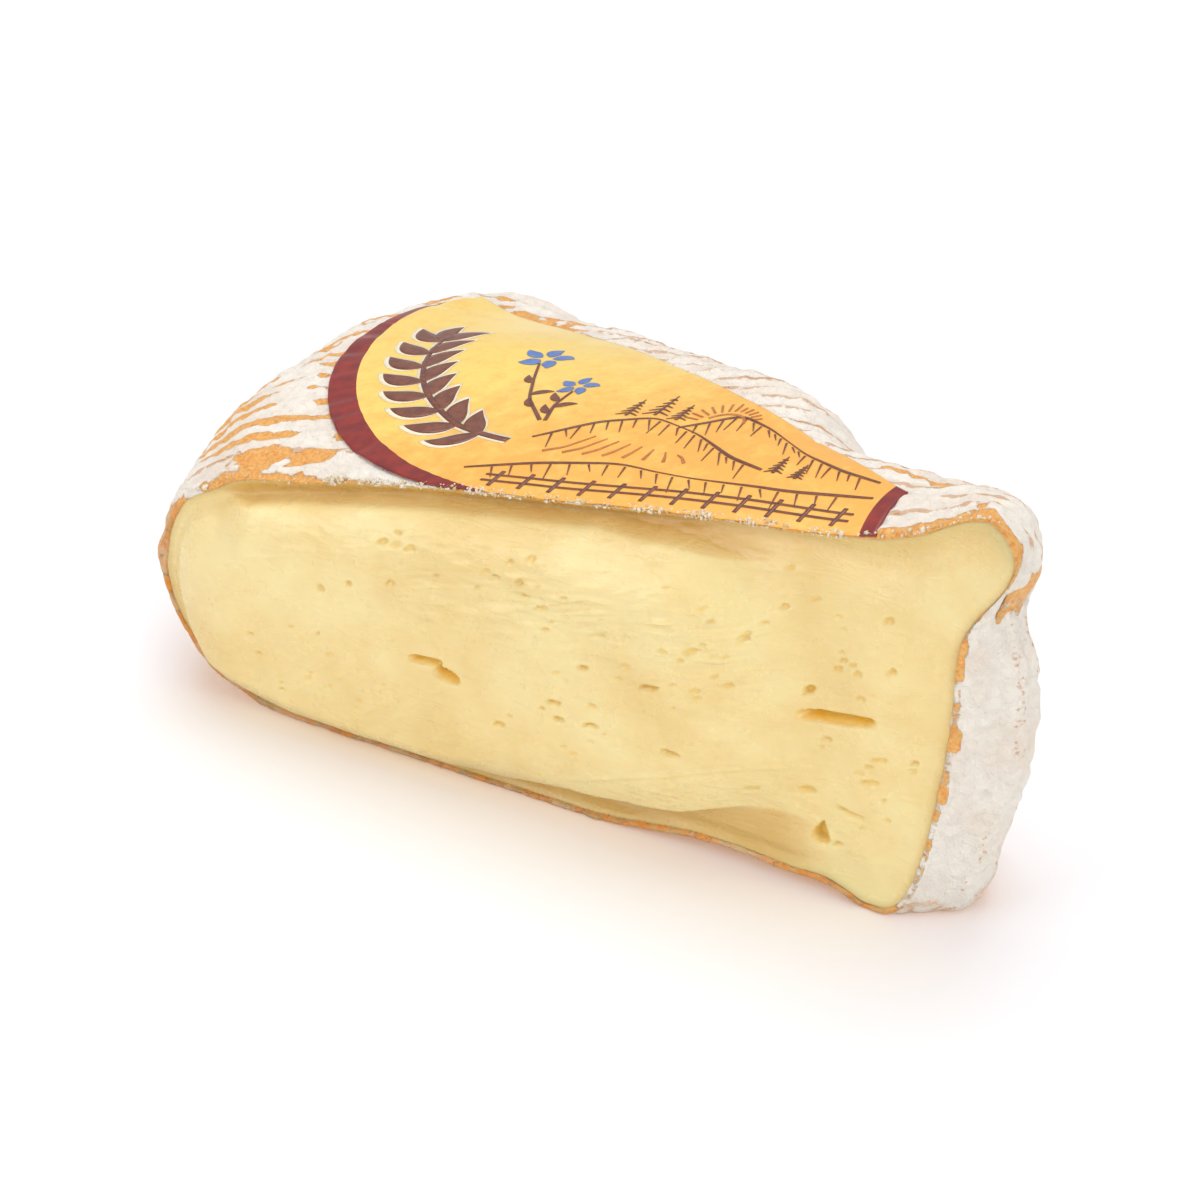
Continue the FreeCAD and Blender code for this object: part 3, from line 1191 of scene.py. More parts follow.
        # Placed patches, the orange band beside the cut, and mould that covers both.
        ragged = 0.55 * noise.fractal(x, y, z, 2.6) + 0.25 * noise.at(x, y, z, 0.9)
        for patch in self.bare_patches:
            bare = np.maximum(bare, patch.share(x, y, z, ragged))
        band = self.cut_band(x, z) * (1.0 + 1.2 * ragged)
        bare = np.maximum(bare, smooth((band - y) / 0.5 + 0.5))
        mould = np.zeros_like(x)
        for patch in self.mould_patches:
            mould = np.maximum(mould, patch.share(x, y, z, ragged))
        bare = bare * (1.0 - 0.92 * mould)
        # Tan crust low down, mostly at the rim, and beside the cut.
        low = smooth((7.0 - z + 2.0 * ragged) / 5.0)
        rim_low = low * ramp(x, 60.0, -30.0) + 0.45 * low * ramp(x, 30.0, 30.0)
        crust = np.clip(rim_low, 0.0, 1.0) * (1.0 - mould)
        crust = np.maximum(crust, self.crust_band(x, z, ragged, y))
        return np.clip(bare, 0.0, 1.0), crust, np.clip(faint, 0.0, 1.0), ridge

    def cut_band(self, x: Array, z: Array) -> Array:
        """Width of the orange band beside the cut, in millimetres.

        Args:
            x, z: places on the rind.
        Returns:
            Width at each place.
        """
        hub_top = ramp(x, 90.0, 5.0) * ramp(z, 44.0, 4.0)
        hub_face = ramp(x, 96.0, 3.0) * (1.0 - ramp(z, 44.0, 4.0))
        rim_top = ramp(x, 31.0, -4.0) * ramp(z, 22.0, 4.0)
        return 0.25 + 1.2 * hub_top - 0.17 * hub_face + 0.5 * rim_top

    def crust_band(self, x: Array, z: Array, ragged: Array, y: Array) -> Array:
        """Share of the tan crust beside the cut round the nose and underneath.

        Args:
            x, z: places on the rind.
            ragged: shift of the band's edge.
            y: distance behind the cut.
        Returns:
            Share at each place.
        """
        nose = ramp(x, 12.0, -6.0) * ramp(z, 26.0, -5.0)
        below = ramp(z, 10.0, -5.0)
        below = below * (1.0 - 0.85 * ramp(x, 92.0, 5.0))
        width = 2.6 * np.maximum(nose, below) * (1.0 + 0.7 * ragged)
        return smooth((width - y) / 0.8)

    def rows(self, out_x: Array, out_z: Array) -> list[tuple[Array, Array, Array]]:
        """Rows of the inner wall and the ragged lip, from deep inside out to the cut's edge.

        Args:
            out_x, out_z: outline points.
        Returns:
            x, y and z of each row.
        """
        noise = LatticeNoise(self.seed + 1)
        thick = self.edge_thickness(out_x, out_z)
        tooth = 0.22 * noise.fractal(out_x, 9.0, out_z, 1.6)
        made = []
        for share in self.wall_shares:
            inside = self.form.shrunk(out_x, out_z, np.full(len(out_x), self.inner_inset))
            wall = self.form.rind(*inside, np.full(len(out_x), share))
            made.append((wall[0], wall[1], np.maximum(wall[2], self.wall_foot)))
        for inset, back in self.lip_rows:
            inside = self.form.shrunk(out_x, out_z, inset * thick)
            inside = self.form.nudged(*inside, out_x, out_z, 0.0)
            near = np.clip(1.0 - back / 2.0, 0.0, 1.0)
            height = np.maximum(inside[1], min(0.55 * inset, self.wall_foot))
            made.append((inside[0], np.full(len(out_x), back) + near * tooth, height))
        edge = self.form.shrunk(out_x, out_z, 0.12 * thick)
        edge = self.form.nudged(*edge, out_x, out_z, 0.0)
        made.append((edge[0], 0.04 + tooth, edge[1]))
        return made

    def shares(self) -> Array:
        """Shares of the way to the back for the outer rows: close near the cut and the shoulder.

        Returns:
            Rising shares from just behind the cut to 1.
        """
        near = np.linspace(0.0, self.near_share, self.near_rows, endpoint=False)
        near[0] = self.first_share
        far = np.linspace(self.near_share, self.far_share, self.far_rows, endpoint=False)
        turn = swell_rise(np.linspace(0.0, 1.0, self.shoulder_rows))
        return np.concatenate((near, far, self.far_share + (1.0 - self.far_share) * turn))

    def build(self, maker: PieceMaker) -> bpy.types.Object:
        """Make the rind as one closed shell: inner pole, inner wall, lip, outside, back and pole.

        Args:
            maker: makes the piece.
        Returns:
            The piece.
        """
        outline = self.form.cut_outline()
        loop = outline.stretch(0.0, len(outline.points), self.columns + 1)[:-1]
        out_x, out_z = loop[:, 0], loop[:, 1]
        inner = self.rows(out_x, out_z)
        shares = self.shares()[:, None]
        x, y, z = self.form.rind(out_x[None, :], out_z[None, :], shares)
        x, y, z = self.with_cap(x, y, z)
        x, y, z, tint = self.relieved(x, y, z)
        inner = np.stack([np.stack(row, axis=-1) for row in inner])
        grid = np.vstack((inner, np.stack((x, y, z), axis=-1)))
        grid[..., 2] = np.maximum(grid[..., 2], 0.0)
        inner_tint = np.repeat(tint[:1], len(inner), axis=0)
        tints = np.concatenate((inner_tint, tint))
        rows = grid.shape[0]
        points = grid.reshape(-1, 3)
        poles = np.stack([points[: self.columns].mean(axis=0), points[-self.columns :].mean(axis=0)])
        values = np.concatenate((tints.reshape(-1, 3), np.zeros((2, 3))))
        last_ring = (rows - 1) * self.columns + np.arange(self.columns)
        faces = [
            grid_faces(rows, self.columns, True),
            pole_faces(np.arange(self.columns), len(points), True),
            pole_faces(last_ring, len(points) + 1, False),
        ]
        points = np.vstack((points, poles))
        finish = RindFinish().material()
        piece = maker.make(Piece.RIND, points, faces, finish, {"wear": values})
        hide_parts(Node.CHEESE.value)
        return piece

    def with_cap(self, x: Array, y: Array, z: Array) -> tuple[Array, Array, Array]:
        """Add rows that shrink the last ring to the middle of the slightly domed back.

        Args:
            x, y, z: rows from the cut to the back's shoulder.
        Returns:
            The rows with the back's rows after them.
        """
        scale = np.linspace(1.0, 0.0, self.cap_rows + 1)[1:-1, None]
        middle_x, middle_z = x[-1].mean(), z[-1].mean()
        cap_x = middle_x + scale * (x[-1] - middle_x)
        cap_z = middle_z + scale * (z[-1] - middle_z)
        dome = self.back_dome * (1.0 - scale**2)
        cap_y = self.form.back_depth(cap_x) + dome
        return np.vstack((x, cap_x)), np.vstack((y, cap_y)), np.vstack((z, cap_z))

    def relieved(self, x: Array, y: Array, z: Array) -> tuple[Array, Array, Array, Array]:
        """Raise the ridges and lumps of mould along the surface's normals.

        Args:
            x, y, z: smooth outer rows.
        Returns:
            The moved rows, and bare, crust and line shares for each point.
        """
        grid = np.stack((x, y, z), axis=-1)
        around = np.roll(grid, -1, axis=1) - np.roll(grid, 1, axis=1)
        back = np.gradient(grid, axis=0)
        normal = np.cross(around, back)
        normal /= np.linalg.norm(normal, axis=-1, keepdims=True) + 1e-9
        noise = LatticeNoise(self.seed)
        facing = normal[..., 2]
        bare, crust, line, ridge = self.wear(x, y, z, noise)
        under_label = self.plan.cover(x, y) * ramp(facing, 0.1, 0.2)
        free = (1.0 - under_label) * smooth(y / 0.6 + 0.15)
        sides = 1.0 - smooth((y / self.form.back_depth(x) - 0.90) / 0.10)
        bare, line = bare * sides, line * (0.35 + 0.65 * sides)
        height = self.ridge_height * (ridge - 0.5) * ramp(z, 4.0, 8.0) * (0.25 + 0.75 * sides)
        height = height + 0.50 * noise.fractal(x, y, z, 13.0, 2) + 0.36 * noise.fractal(x, y, z, 3.4)
        height = height + 0.22 * noise.at(x, y, z, 1.1) - 0.20 * bare
        height = height * free - 0.12 * under_label
        crease = hump(z, 42.0, 1.6) * ramp(x, 103.0, 3.0) * ramp(y, 1.0, 3.0)
        height = height - self.crease_depth * crease
        moved = grid + height[..., None] * normal
        return moved[..., 0], moved[..., 1], moved[..., 2], np.stack((bare, crust, line), axis=-1)


@dataclass(frozen=True)
class Eye:
    """A gas hole or slit in the paste: middle, half sizes in millimetres, tilt and depth."""

    x: float
    z: float
    half_length: float
    half_height: float
    tilt: float = 0.0
    depth: float = 0.6
    sharp: float = 0.3
    power: float = 2.0
    taper: float = 0.0

    def reach(self, x: Array, z: Array) -> Array:
        """Distance from the middle as a share of the way to the hole's edge: (a^p + b^p)^(1/p).

        Args:
            x, z: places on the face.
        Returns:
            1 at the edge, less inside.
        """
        cosine, sine = math.cos(math.radians(self.tilt)), math.sin(math.radians(self.tilt))
        across = (-sine * (x - self.x) + cosine * (z - self.z)) / self.half_height
        narrow = self.half_length * np.clip(1.0 - self.taper * across, 0.15, 2.0)
        along = (cosine * (x - self.x) + sine * (z - self.z)) / narrow
        return (np.abs(along) ** self.power + np.abs(across) ** self.power) ** (1.0 / self.power)


@dataclass(frozen=True)
class EyeCluster:
    """A scatter of small eyes: middle, spread, how many and how large."""

    x: float
    z: float
    spread_x: float
    spread_z: float
    count: int
    size: float


@dataclass(frozen=True)
class PasteBody:
    """Paste: a face sunk inside the rind, swollen out of the cut, pitted and smeared by the knife.

    Ramps in its formulas say where along the cut (x) or up (z) a feature starts, and its run.
    """

    form: WedgeForm
    shell: RindShell
    columns: int = 430
    rows: int = 186
    rind_cover: float = 0.84
    foot: float = 0.45
    wall_foot: float = 0.4
    seed: int = 23

    # Side walls: share of the way to the back, and how far inside the rind's outer face.
    wall_rows = (
        (0.06, 1.6), (0.16, 2.6), (0.3, 2.8), (0.45, 2.8), (0.6, 2.8), (0.75, 2.8), (0.88, 2.8)
    )
    eyes = (
        Eye(39.7, 16.9, 2.0, 0.50, 8.0, 1.8, 0.3, 3.0),
        Eye(42.5, 15.9, 1.5, 0.72, -12.0, 2.2, 0.3, 2.6),
        Eye(90.0, 23.6, 4.3, 0.72, 12.0, 2.6, 0.26, 3.2),
        Eye(86.6, 26.1, 0.85, 0.45, 40.0, 1.0),
        Eye(88.4, 8.2, 0.78, 1.5, -10.0, 1.7, 0.2, 2.4, 0.75),
        Eye(91.9, 11.9, 1.64, 0.26, -8.0, 0.68),
        Eye(90.4, 7.2, 0.62, 0.28, 20.0, 0.51),
        Eye(29.4, 23.7, 0.43, 0.36, 10.0, 0.51),
        Eye(35.1, 25.6, 0.58, 0.32, 15.0, 0.42),
        Eye(25.6, 22.0, 0.47, 0.4, -30.0, 0.42),
        Eye(56.6, 16.8, 0.86, 0.32, 10.0, 0.77),
        Eye(57.2, 14.8, 0.7, 0.36, 5.0, 0.68),
        Eye(61.3, 15.3, 0.94, 0.32, 12.0, 0.77),
        Eye(49.3, 11.5, 0.78, 0.34, 15.0, 0.59),
        Eye(60.5, 22.7, 0.7, 0.36, 15.0, 0.68),
        Eye(68.9, 22.8, 1.25, 0.34, 17.0, 0.94),
        Eye(71.4, 14.9, 1.01, 0.34, -10.0, 0.77),
        Eye(52.3, 31.0, 0.47, 0.4, 0.0, 0.51),
        Eye(73.8, 28.7, 0.86, 0.4, 25.0, 0.51),
        Eye(79.4, 31.3, 0.55, 0.4, 0.0, 0.59),
        Eye(83.2, 35.4, 0.55, 0.32, 15.0, 0.42),
        Eye(95.6, 37.2, 0.62, 0.4, 20.0, 0.51),
        Eye(96.5, 31.5, 0.55, 0.4, 35.0, 0.59),
        Eye(92.6, 30.2, 0.55, 0.36, 10.0, 0.42),
        Eye(86.6, 13.2, 1.01, 0.4, 8.0, 0.68),
        Eye(95.2, 19.8, 1.01, 0.28, 12.0, 0.42),
        Eye(94.2, 16.6, 1.09, 0.32, 12.0, 0.51),
        Eye(99.3, 20.5, 0.47, 0.28, 10.0, 0.51),
        Eye(80.3, 11.9, 0.94, 0.24, 15.0, 0.42),
    )
    # Places along the cut, and the upper lip's distance below the top or the lower lip's height.
    upper_margin = ((4.0, 12.0, 25.0, 45.0, 60.0, 70.0, 80.0), (3.6, 3.0, 2.5, 2.2, 2.4, 3.6, 5.6))
    lower_lip = ((10.0, 20.0, 42.0, 48.0, 61.0, 72.0, 82.0), (2.4, 0.6, 0.6, 2.4, 4.6, 6.2, 9.4))
    # Soft swellings of the face: middle along and up, half widths, and rise.
    lobes = (
        (46.0, 33.0, 13.0, 3.0, 0.55),
        (66.0, 33.0, 11.0, 4.0, 0.60),
        (56.0, 24.0, 16.0, 3.5, 0.35),
        (93.5, 29.0, 4.5, 6.5, 0.60),
        (30.0, 14.0, 16.0, 6.0, 0.35),
        (76.0, 19.0, 10.0, 5.0, 0.30),
    )
    clusters = (
        EyeCluster(36.0, 30.0, 1.8, 1.0, 5, 0.55),
        EyeCluster(50.5, 31.5, 2.4, 2.4, 9, 0.45),
        EyeCluster(26.0, 9.5, 4.5, 2.2, 10, 0.36),
        EyeCluster(59.5, 29.0, 2.5, 3.5, 8, 0.42),
        EyeCluster(58.5, 15.0, 4.5, 3.5, 9, 0.36),
        EyeCluster(76.5, 31.0, 3.0, 3.0, 10, 0.42),
        EyeCluster(73.5, 23.0, 3.2, 2.6, 9, 0.42),
        EyeCluster(94.0, 30.5, 3.0, 2.2, 7, 0.45),
        EyeCluster(93.0, 17.5, 4.0, 3.0, 9, 0.42),
        EyeCluster(88.0, 37.0, 4.0, 2.2, 6, 0.45),
        EyeCluster(18.0, 14.0, 7.0, 5.0, 10, 0.34),
    )

    def boundary(self) -> tuple[Array, Array, Array, Array]:
        """Four sides of the face just inside the rind: under, over, rim and hub side, as x and z.

        Returns:
            Under, over, rim and hub side.
        """
        outline = self.form.cut_outline()
        over = outline.stretch(1.5, 9.3, self.columns)
        hub = outline.stretch(17.6, 9.3, self.rows)
        under = outline.stretch(23.5, 17.6, self.columns)
        rim = outline.stretch(23.5, 26.5, self.rows)
        sides = []
        for side in (under, over, rim, hub):
            inset = self.rind_cover * self.shell.edge_thickness(side[:, 0], side[:, 1])
            x, z = self.form.shrunk(side[:, 0], side[:, 1], inset)
            x, z = self.form.nudged(x, z, side[:, 0], side[:, 1], 0.0)
            sides.append(np.stack((x, np.maximum(z, self.foot)), axis=1))
        return tuple(sides)

    def patch(self) -> Plane:
        """Grid of the face: the four sides blended, less the blend of their corners.

        Returns:
            x and z of the grid's points.
        """
        under, over, rim, hub = self.boundary()
        u = np.linspace(0.0, 1.0, self.columns)[None, :, None]
        v = np.linspace(0.0, 1.0, self.rows)[:, None, None]
        rails = (1.0 - v) * under[None] + v * over[None]
        rungs = (1.0 - u) * rim[:, None] + u * hub[:, None]
        low = (1.0 - u) * under[0] + u * under[-1]
        high = (1.0 - u) * over[0] + u * over[-1]
        grid = rails + rungs - (1.0 - v) * low - v * high
        return grid[..., 0], grid[..., 1]

    def edge_distance(self, x: Array, z: Array) -> Array:
        """Distance from each place of the face to the nearest point of its outline.

        Args:
            x, z: places on the face.
        Returns:
            Millimetres for each place.
        """
        sides = self.boundary()
        outline = np.concatenate([side[::3] for side in sides])
        nearest = np.full(x.shape, 1.0e9)
        for group in np.array_split(outline, 24):
            gaps = np.hypot(x[..., None] - group[:, 0], z[..., None] - group[:, 1])
            nearest = np.minimum(nearest, gaps.min(axis=-1))
        return nearest

    def lips(self, x: Array, z: Array, noise: LatticeNoise) -> Plane:
        """Distances below the pillow's upper lip and above its lower lip.

        Args:
            x, z: places on the face.
            noise: seeded noise for the ragged edges.
        Returns:
            Two distances for each place, positive inside the pillow.
        """
        ragged = 0.35 * noise.fractal(x, 0.0, 5.0, 4.0)
        upper = self.form.top_height(x) - np.interp(x, *self.upper_margin) + 0.6 * ragged
        lower = np.interp(x, *self.lower_lip)
        return upper - z, z - lower + 0.5 * ragged

    def relief(self, x: Array, z: Array) -> tuple[Array, Array, Array, Array]:
        """How far the face lies behind the cut plane, with its hollows, edges and smears.

        Near the rind it is sunk; inside its lips it swells out by a quarter-sine on all sides; eyes
        are ellipses pushed in; a low-frequency noise and stretched noises add waves and smears.

        Args:
            x, z: places on the face.
        Returns:
            Depth in millimetres, and the shares of painted shade in the eyes, of painted shade by the
            rind and in the recesses, and of smears.
        """
        noise = LatticeNoise(self.seed)
        edge = self.edge_distance(x, z)
        from_top = self.form.top_height(x) - z + ramp(x, 92.0, 12.0) * 5.5
        upper, lower = self.lips(x, z, noise)
        depth = self.sunken(x, z, edge, from_top)
        depth = depth - self.pillow(x, z, upper, lower) * ramp(edge, 0.1, 2.6)
        depth = depth + 0.35 * noise.fractal(x, 0.0, z, 15.0, 2) * smooth(edge / 4.0)
        for lobe_x, lobe_z, wide_x, wide_z, rise in self.lobes:
            depth = depth - rise * hump(x, lobe_x, wide_x) * hump(z, lobe_z, wide_z)
        smear = self.smears(x, z, noise)
        depth = depth + smear * smooth(edge / 2.0)
        cuts, eye_shade = self.pitted(x, z)
        depth = depth + cuts
        # Painted shade in a deeper gold: along the rind, in the recess under the top, and on the steps
        # at the two lips.
        painted_gold_shade = ramp(edge, 1.2, -1.2) * 0.5
        step_top = ramp(upper, 0.4, -0.6) * ramp(x, 5.0, 7.0) * ramp(x, 84.0, -10.0)
        slope_top = hump(from_top, 0.0, 4.5) * ramp(x, 72.0, 10.0)
        step_low = ramp(lower, 0.4, -0.9) * ramp(x, 40.0, 6.0) * ramp(x, 90.0, -8.0)
        step_top = step_top * (0.55 + 0.45 * smooth((upper + 3.0) / 2.4))
        painted_gold_shade = np.maximum.reduce((painted_gold_shade, step_top, 0.5 * slope_top, 0.8 * step_low))
        smeared = np.clip(0.25 + 5.0 * np.abs(smear), 0.0, 1.0)
        return depth, eye_shade, painted_gold_shade, smeared

    def sunken(self, x: Array, z: Array, edge: Array, from_top: Array) -> Array:
        """Depth of the paste inside the rind's edge: a dip under the top and behind the lower lip.

        Args:
            x, z: places on the face.
            edge: distance to the face's outline.
            from_top: distance below the top of the outline.
        Returns:
            Depth in millimetres, small at the outline itself.
        """
        depth = 0.7 * hump(edge, 0.0, 2.2)
        strength = np.interp(x, (8.0, 22.0, 50.0, 75.0, 98.0, 106.0), (0.8, 2.2, 2.8, 3.2, 3.0, 1.2))
        width = np.interp(x, (8.0, 40.0, 72.0, 88.0, 105.0), (3.0, 3.8, 5.2, 8.0, 9.0))
        depth = depth + strength * hump(np.clip(from_top, 0.0, None), 0.0, width)
        depth = depth + 1.8 * hump(x, 64.0, 17.0) * ramp(z, 5.5, -4.0)
        hub = ramp(x, 84.0, 10.0)
        depth = depth + 0.3 * hub * hump(edge, 0.0, 5.0) - 0.35 * hub * ramp(edge, 3.0, 6.0)
        return 0.12 + depth * (0.10 + 0.90 * smooth(edge / (2.2 + 2.4 * hub)))

    def pillow(self, x: Array, z: Array, upper: Array, lower: Array) -> Array:
        """Swelling out of the cut: crisp along the two lips and easy towards the rim and the hub.

        Args:
            x, z: places on the face.
            upper, lower: distances inside the two lips.
        Returns:
            Rise in millimetres.
        """
        crisp_top = ramp(x, 9.0, 6.0) * ramp(x, 80.0, -10.0)
        crisp_low = ramp(x, 40.0, 8.0) * ramp(x, 82.0, -8.0)
        top = self.lip_profile(upper, crisp_top, 9.0, 13.0)
        low = self.lip_profile(lower, crisp_low, 7.0, 6.0)
        rim = swell_rise((x - 0.8) / 13.0)
        hub = smooth((89.0 - x + 0.12 * (z - 20.0)) / 20.0)
        return (self.form.pillow_swell + 0.9) * top * low * rim * hub

    @staticmethod
    def lip_profile(inside: Array, crisp: Array, run: float, easy_run: float) -> Array:
        """Rise behind a lip: a sharp step and a slow swelling where crisp, a slow rise elsewhere.

        Args:
            inside: distance inside the lip.
            crisp: share of the sharp step.
            run, easy_run: widths of the swelling and of the slow rise.
        Returns:
            Rise as a share of the whole.
        """
        stepped = 0.60 * smooth(inside / 0.45) + 0.40 * swell_rise(inside / run)
        easy = smooth((inside + 1.5) / easy_run) ** 0.8
        return crisp * stepped + (1.0 - crisp) * easy

    def smears(self, x: Array, z: Array, noise: LatticeNoise) -> Array:
        """Thin waves left by the knife: bands of stretched noise and one raised line low down.

        Args:
            x, z: places on the face.
            noise: seeded noise.
        Returns:
            Added depth in millimetres.
        """
        turned = 0.97 * x + 0.24 * z
        up = -0.24 * x + 0.97 * z + 0.8 * noise.at(x, 0.0, z, 7.0)
        waves = noise.fractal(turned / 5.0, 3.0, up, 0.9, 2)
        band = hump(z - 0.10 * (x - 50.0), 27.5, 4.5) * ramp(x, 34.0, 8.0) * ramp(x, 84.0, -8.0)
        streaks = noise.fractal((0.75 * x + 0.66 * z) / 7.0, 7.0, -0.66 * x + 0.75 * z, 1.1, 2)
        low_left = hump(x, 30.0, 18.0) * hump(z, 9.0, 6.0)
        line = np.interp(x, (58.0, 68.0, 76.0, 90.0), (6.6, 11.0, 13.7, 17.0))
        ends = ramp(x, 57.0, 4.0) * ramp(x, 90.0, -6.0)
        raised = -0.34 * hump(z, line, 0.4)
        raised = raised - 0.22 * smooth((line - z) / 1.0) * smooth(z / 4.0)
        fine = noise.fractal(turned / 3.0, 11.0, 1.6 * up, 1.0, 2)
        whole = ramp(z, 18.0, 8.0) * ramp(x, 90.0, -10.0)
        return 0.62 * waves * band + 0.22 * streaks * low_left + 0.14 * fine * whole + raised * ends

    def pitted(self, x: Array, z: Array) -> Plane:
        """Push the eyes and slits in: full depth inside, gone at the edge, with a slight raised rim.

        Args:
            x, z: places on the face.
        Returns:
            Added depth, and the share of painted shade inside the eyes, for each place.
        """
        draw = np.random.default_rng(self.seed)
        eyes = list(self.eyes)
        for cluster in self.clusters:
            for _ in range(cluster.count):
                place = draw.normal(0.0, 1.0, 2)
                size = cluster.size * draw.uniform(0.45, 0.95)
                eyes.append(
                    Eye(
                        cluster.x + cluster.spread_x * place[0],
                        cluster.z + cluster.spread_z * place[1],
                        size * draw.uniform(1.0, 1.9),
                        size * 0.8,
                        draw.uniform(-10.0, 30.0),
                        size * draw.uniform(0.6, 1.3),
                    )
                )
        depth = np.zeros_like(x)
        eye_shade = np.zeros_like(x)
        for eye in eyes:
            reach = eye.reach(x, z)
            dip = 1.0 - smooth((reach - 1.0 + eye.sharp) / (2.0 * eye.sharp))
            depth = np.maximum(depth, 0.8 * eye.depth * dip)
            depth = depth - 0.05 * hump(reach, 1.35, 0.25) * min(eye.depth, 1.0)
            # Painted shade inside each eye, more of it in deeper eyes.
            eye_shade = np.maximum(eye_shade, dip * min(0.25 + 0.3 * eye.depth, 1.0))
        return depth, eye_shade

    def build(self, maker: PieceMaker) -> bpy.types.Object:
        """Make the paste as a closed body: the face, walls inside the rind and a pole at the back.

        Args:
            maker: makes the piece.
        Returns:
            The piece.
        """
        x, z = self.patch()
        depth, eye_shade, painted_gold_shade, smeared = self.relief(x, z)
        face = np.stack((x, depth, z), axis=-1)
        numbers = np.arange(self.rows * self.columns).reshape(self.rows, self.columns)
        ring = np.concatenate(
            (numbers[0], numbers[1:, -1], numbers[-1, -2::-1], numbers[-2:0:-1, 0])
        )
        points = face.reshape(-1, 3)
        start = points[ring]
        walls = []
        for share, inset in self.wall_rows:
            wall = self.form.rind(start[:, 0], start[:, 2], np.full(len(start), share))
            wall_x, wall_z = self.form.shrunk(wall[0], wall[2], np.full(len(start), inset))
            walls.append(np.stack((wall_x, wall[1], np.maximum(wall_z, self.wall_foot)), axis=1))
        walls = np.stack(walls)
        pole = walls[-1].mean(axis=0)
        count = len(points)
        first_wall = count + np.arange(len(ring))
        following = np.roll(ring, -1)
        joint = np.stack((ring, first_wall, np.roll(first_wall, -1), following), axis=1)
        last_wall = count + (len(walls) - 1) * len(ring) + np.arange(len(ring))
        faces = [
            grid_faces(self.rows, self.columns, False),
            joint,
            grid_faces(len(walls), len(ring), True, count)[:, ::-1],
            pole_faces(last_wall, count + len(walls) * len(ring), True),
        ]
        every = np.vstack((points, walls.reshape(-1, 3), pole[None]))
        tint = np.zeros((len(every), 3))
        tint[:count] = np.stack((eye_shade, painted_gold_shade, smeared), axis=-1).reshape(-1, 3)
        finish = PasteFinish().material()
        piece = maker.make(Piece.PASTE, every, faces, finish, {"depth": tint}, 1)
        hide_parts(Node.CHEESE.value)
        return piece


@dataclass(frozen=True)
class LabelSheet:
    """Paper label lying on the top: a grid between its front and back edges, with a real thickness."""

    plan: LabelPlan
    top: TopMap
    columns: int = 240
    rows: int = 130
    lift: float = 0.2
    thickness: float = 0.15
    band_middle_x: float = 52.4
    band_middle_y: float = 43.5
    band_radius: float = 44.2
    band_end: float = 52.0
    end_band: float = 2.0
    hub_far_y: float = 15.0
    cut_start: float = 36.0
    seed: int = 37

    def height(self, x: Array, y: Array) -> Array:
        """Height of the paper's upper face: the top of the cheese, its lift and small wrinkles.

        Args:
            x, y: places in plan.
        Returns:
            Height for each place.
        """
        noise = LatticeNoise(self.seed)
        out = np.hypot(x - self.plan.middle_x, y - self.plan.middle_y) / self.plan.radius
        angle = np.degrees(np.arctan2(y - self.plan.middle_y, x - self.plan.middle_x))
        rim = ramp(out, 0.84, 0.14) * ramp(x, 40.0, -15.0)
        pleats = noise.at(angle, 0.0, 6.0 * out, 3.0)
        loose = noise.fractal(x, y, 0.0, 9.0, 2)
        return self.top.at(x, y) + self.lift + 0.16 * rim * pleats + 0.10 * loose

    def grid(self) -> Plane:
        """Plan of the paper: columns close together at the rounded left end, rows front to back.

        Returns:
            x and y of the grid's points.
        """
        u = np.linspace(0.0, 1.0, self.columns)[None, :]
        v = np.linspace(0.0, 1.0, self.rows)[:, None]
        left = self.plan.middle_x - self.plan.radius + 0.02
        hub = self.plan.hub(self.plan.hub_middle_y)
        x = left + (hub - left) * u**1.35
        noise = LatticeNoise(self.seed + 1)
        front = self.plan.front(x)
        at_cut = ramp(x, self.cut_start, 4.0)
        torn = 0.18 * noise.fractal(x, 0.0, 0.0, 1.3) * at_cut
        front = front - 0.12 * at_cut + torn
        back = self.plan.back(x)
        y = front + v * (back - front)
        x = x + u * (self.plan.hub(np.clip(y, 0.0, self.hub_far_y)) - hub)
        return np.broadcast_to(x, y.shape).copy(), y

    def print_fields(self, x: Array, y: Array) -> Array:
        """Band and warmth of the print, and a painted sheen of glare towards the back, for each place in
        plan.

        Args:
            x, y: places in millimetres.
        Returns:
            Three shares for each place.
        """
        ring = np.hypot(x - self.band_middle_x, y - self.band_middle_y) - self.band_radius
        left = smooth(ring / 0.5 + 0.5) * (x < self.band_end)
        hub = self.plan.hub(np.clip(y, 0.0, self.hub_far_y))
        right = smooth((x - hub + self.end_band) / 0.5 + 0.5)
        warmth = smooth((0.55 * (x - 12.0) + 0.9 * (24.0 - y)) / 42.0)
        # Painted sheen: pale towards the back, away from the left end, in place of glare on the glossy
        # paper.
        painted_sheen = ramp(y, 30.0, 22.0) * ramp(x, 12.0, 20.0)
        return np.stack((np.maximum(left, right), warmth, painted_sheen), axis=-1)

    def build(self, maker: PieceMaker) -> bpy.types.Object:
        """Make the paper.

        Args:
            maker: makes the piece.
        Returns:
            The piece.
        """
        x, y = self.grid()
        points = np.stack((x, y, self.height(x, y)), axis=-1).reshape(-1, 3)
        tint = self.print_fields(x, y).reshape(-1, 3)
        faces = [grid_faces(self.rows, self.columns, False)]
        finish = PaperFinish().material()
        piece = maker.make(Piece.PAPER, points, faces, finish, {"print": tint})
        sheet = piece.modifiers.new("paper", "SOLIDIFY")
        sheet.thickness = self.thickness * MM
        sheet.offset = -1.0
        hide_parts(Node.LABEL.value)
        return piece


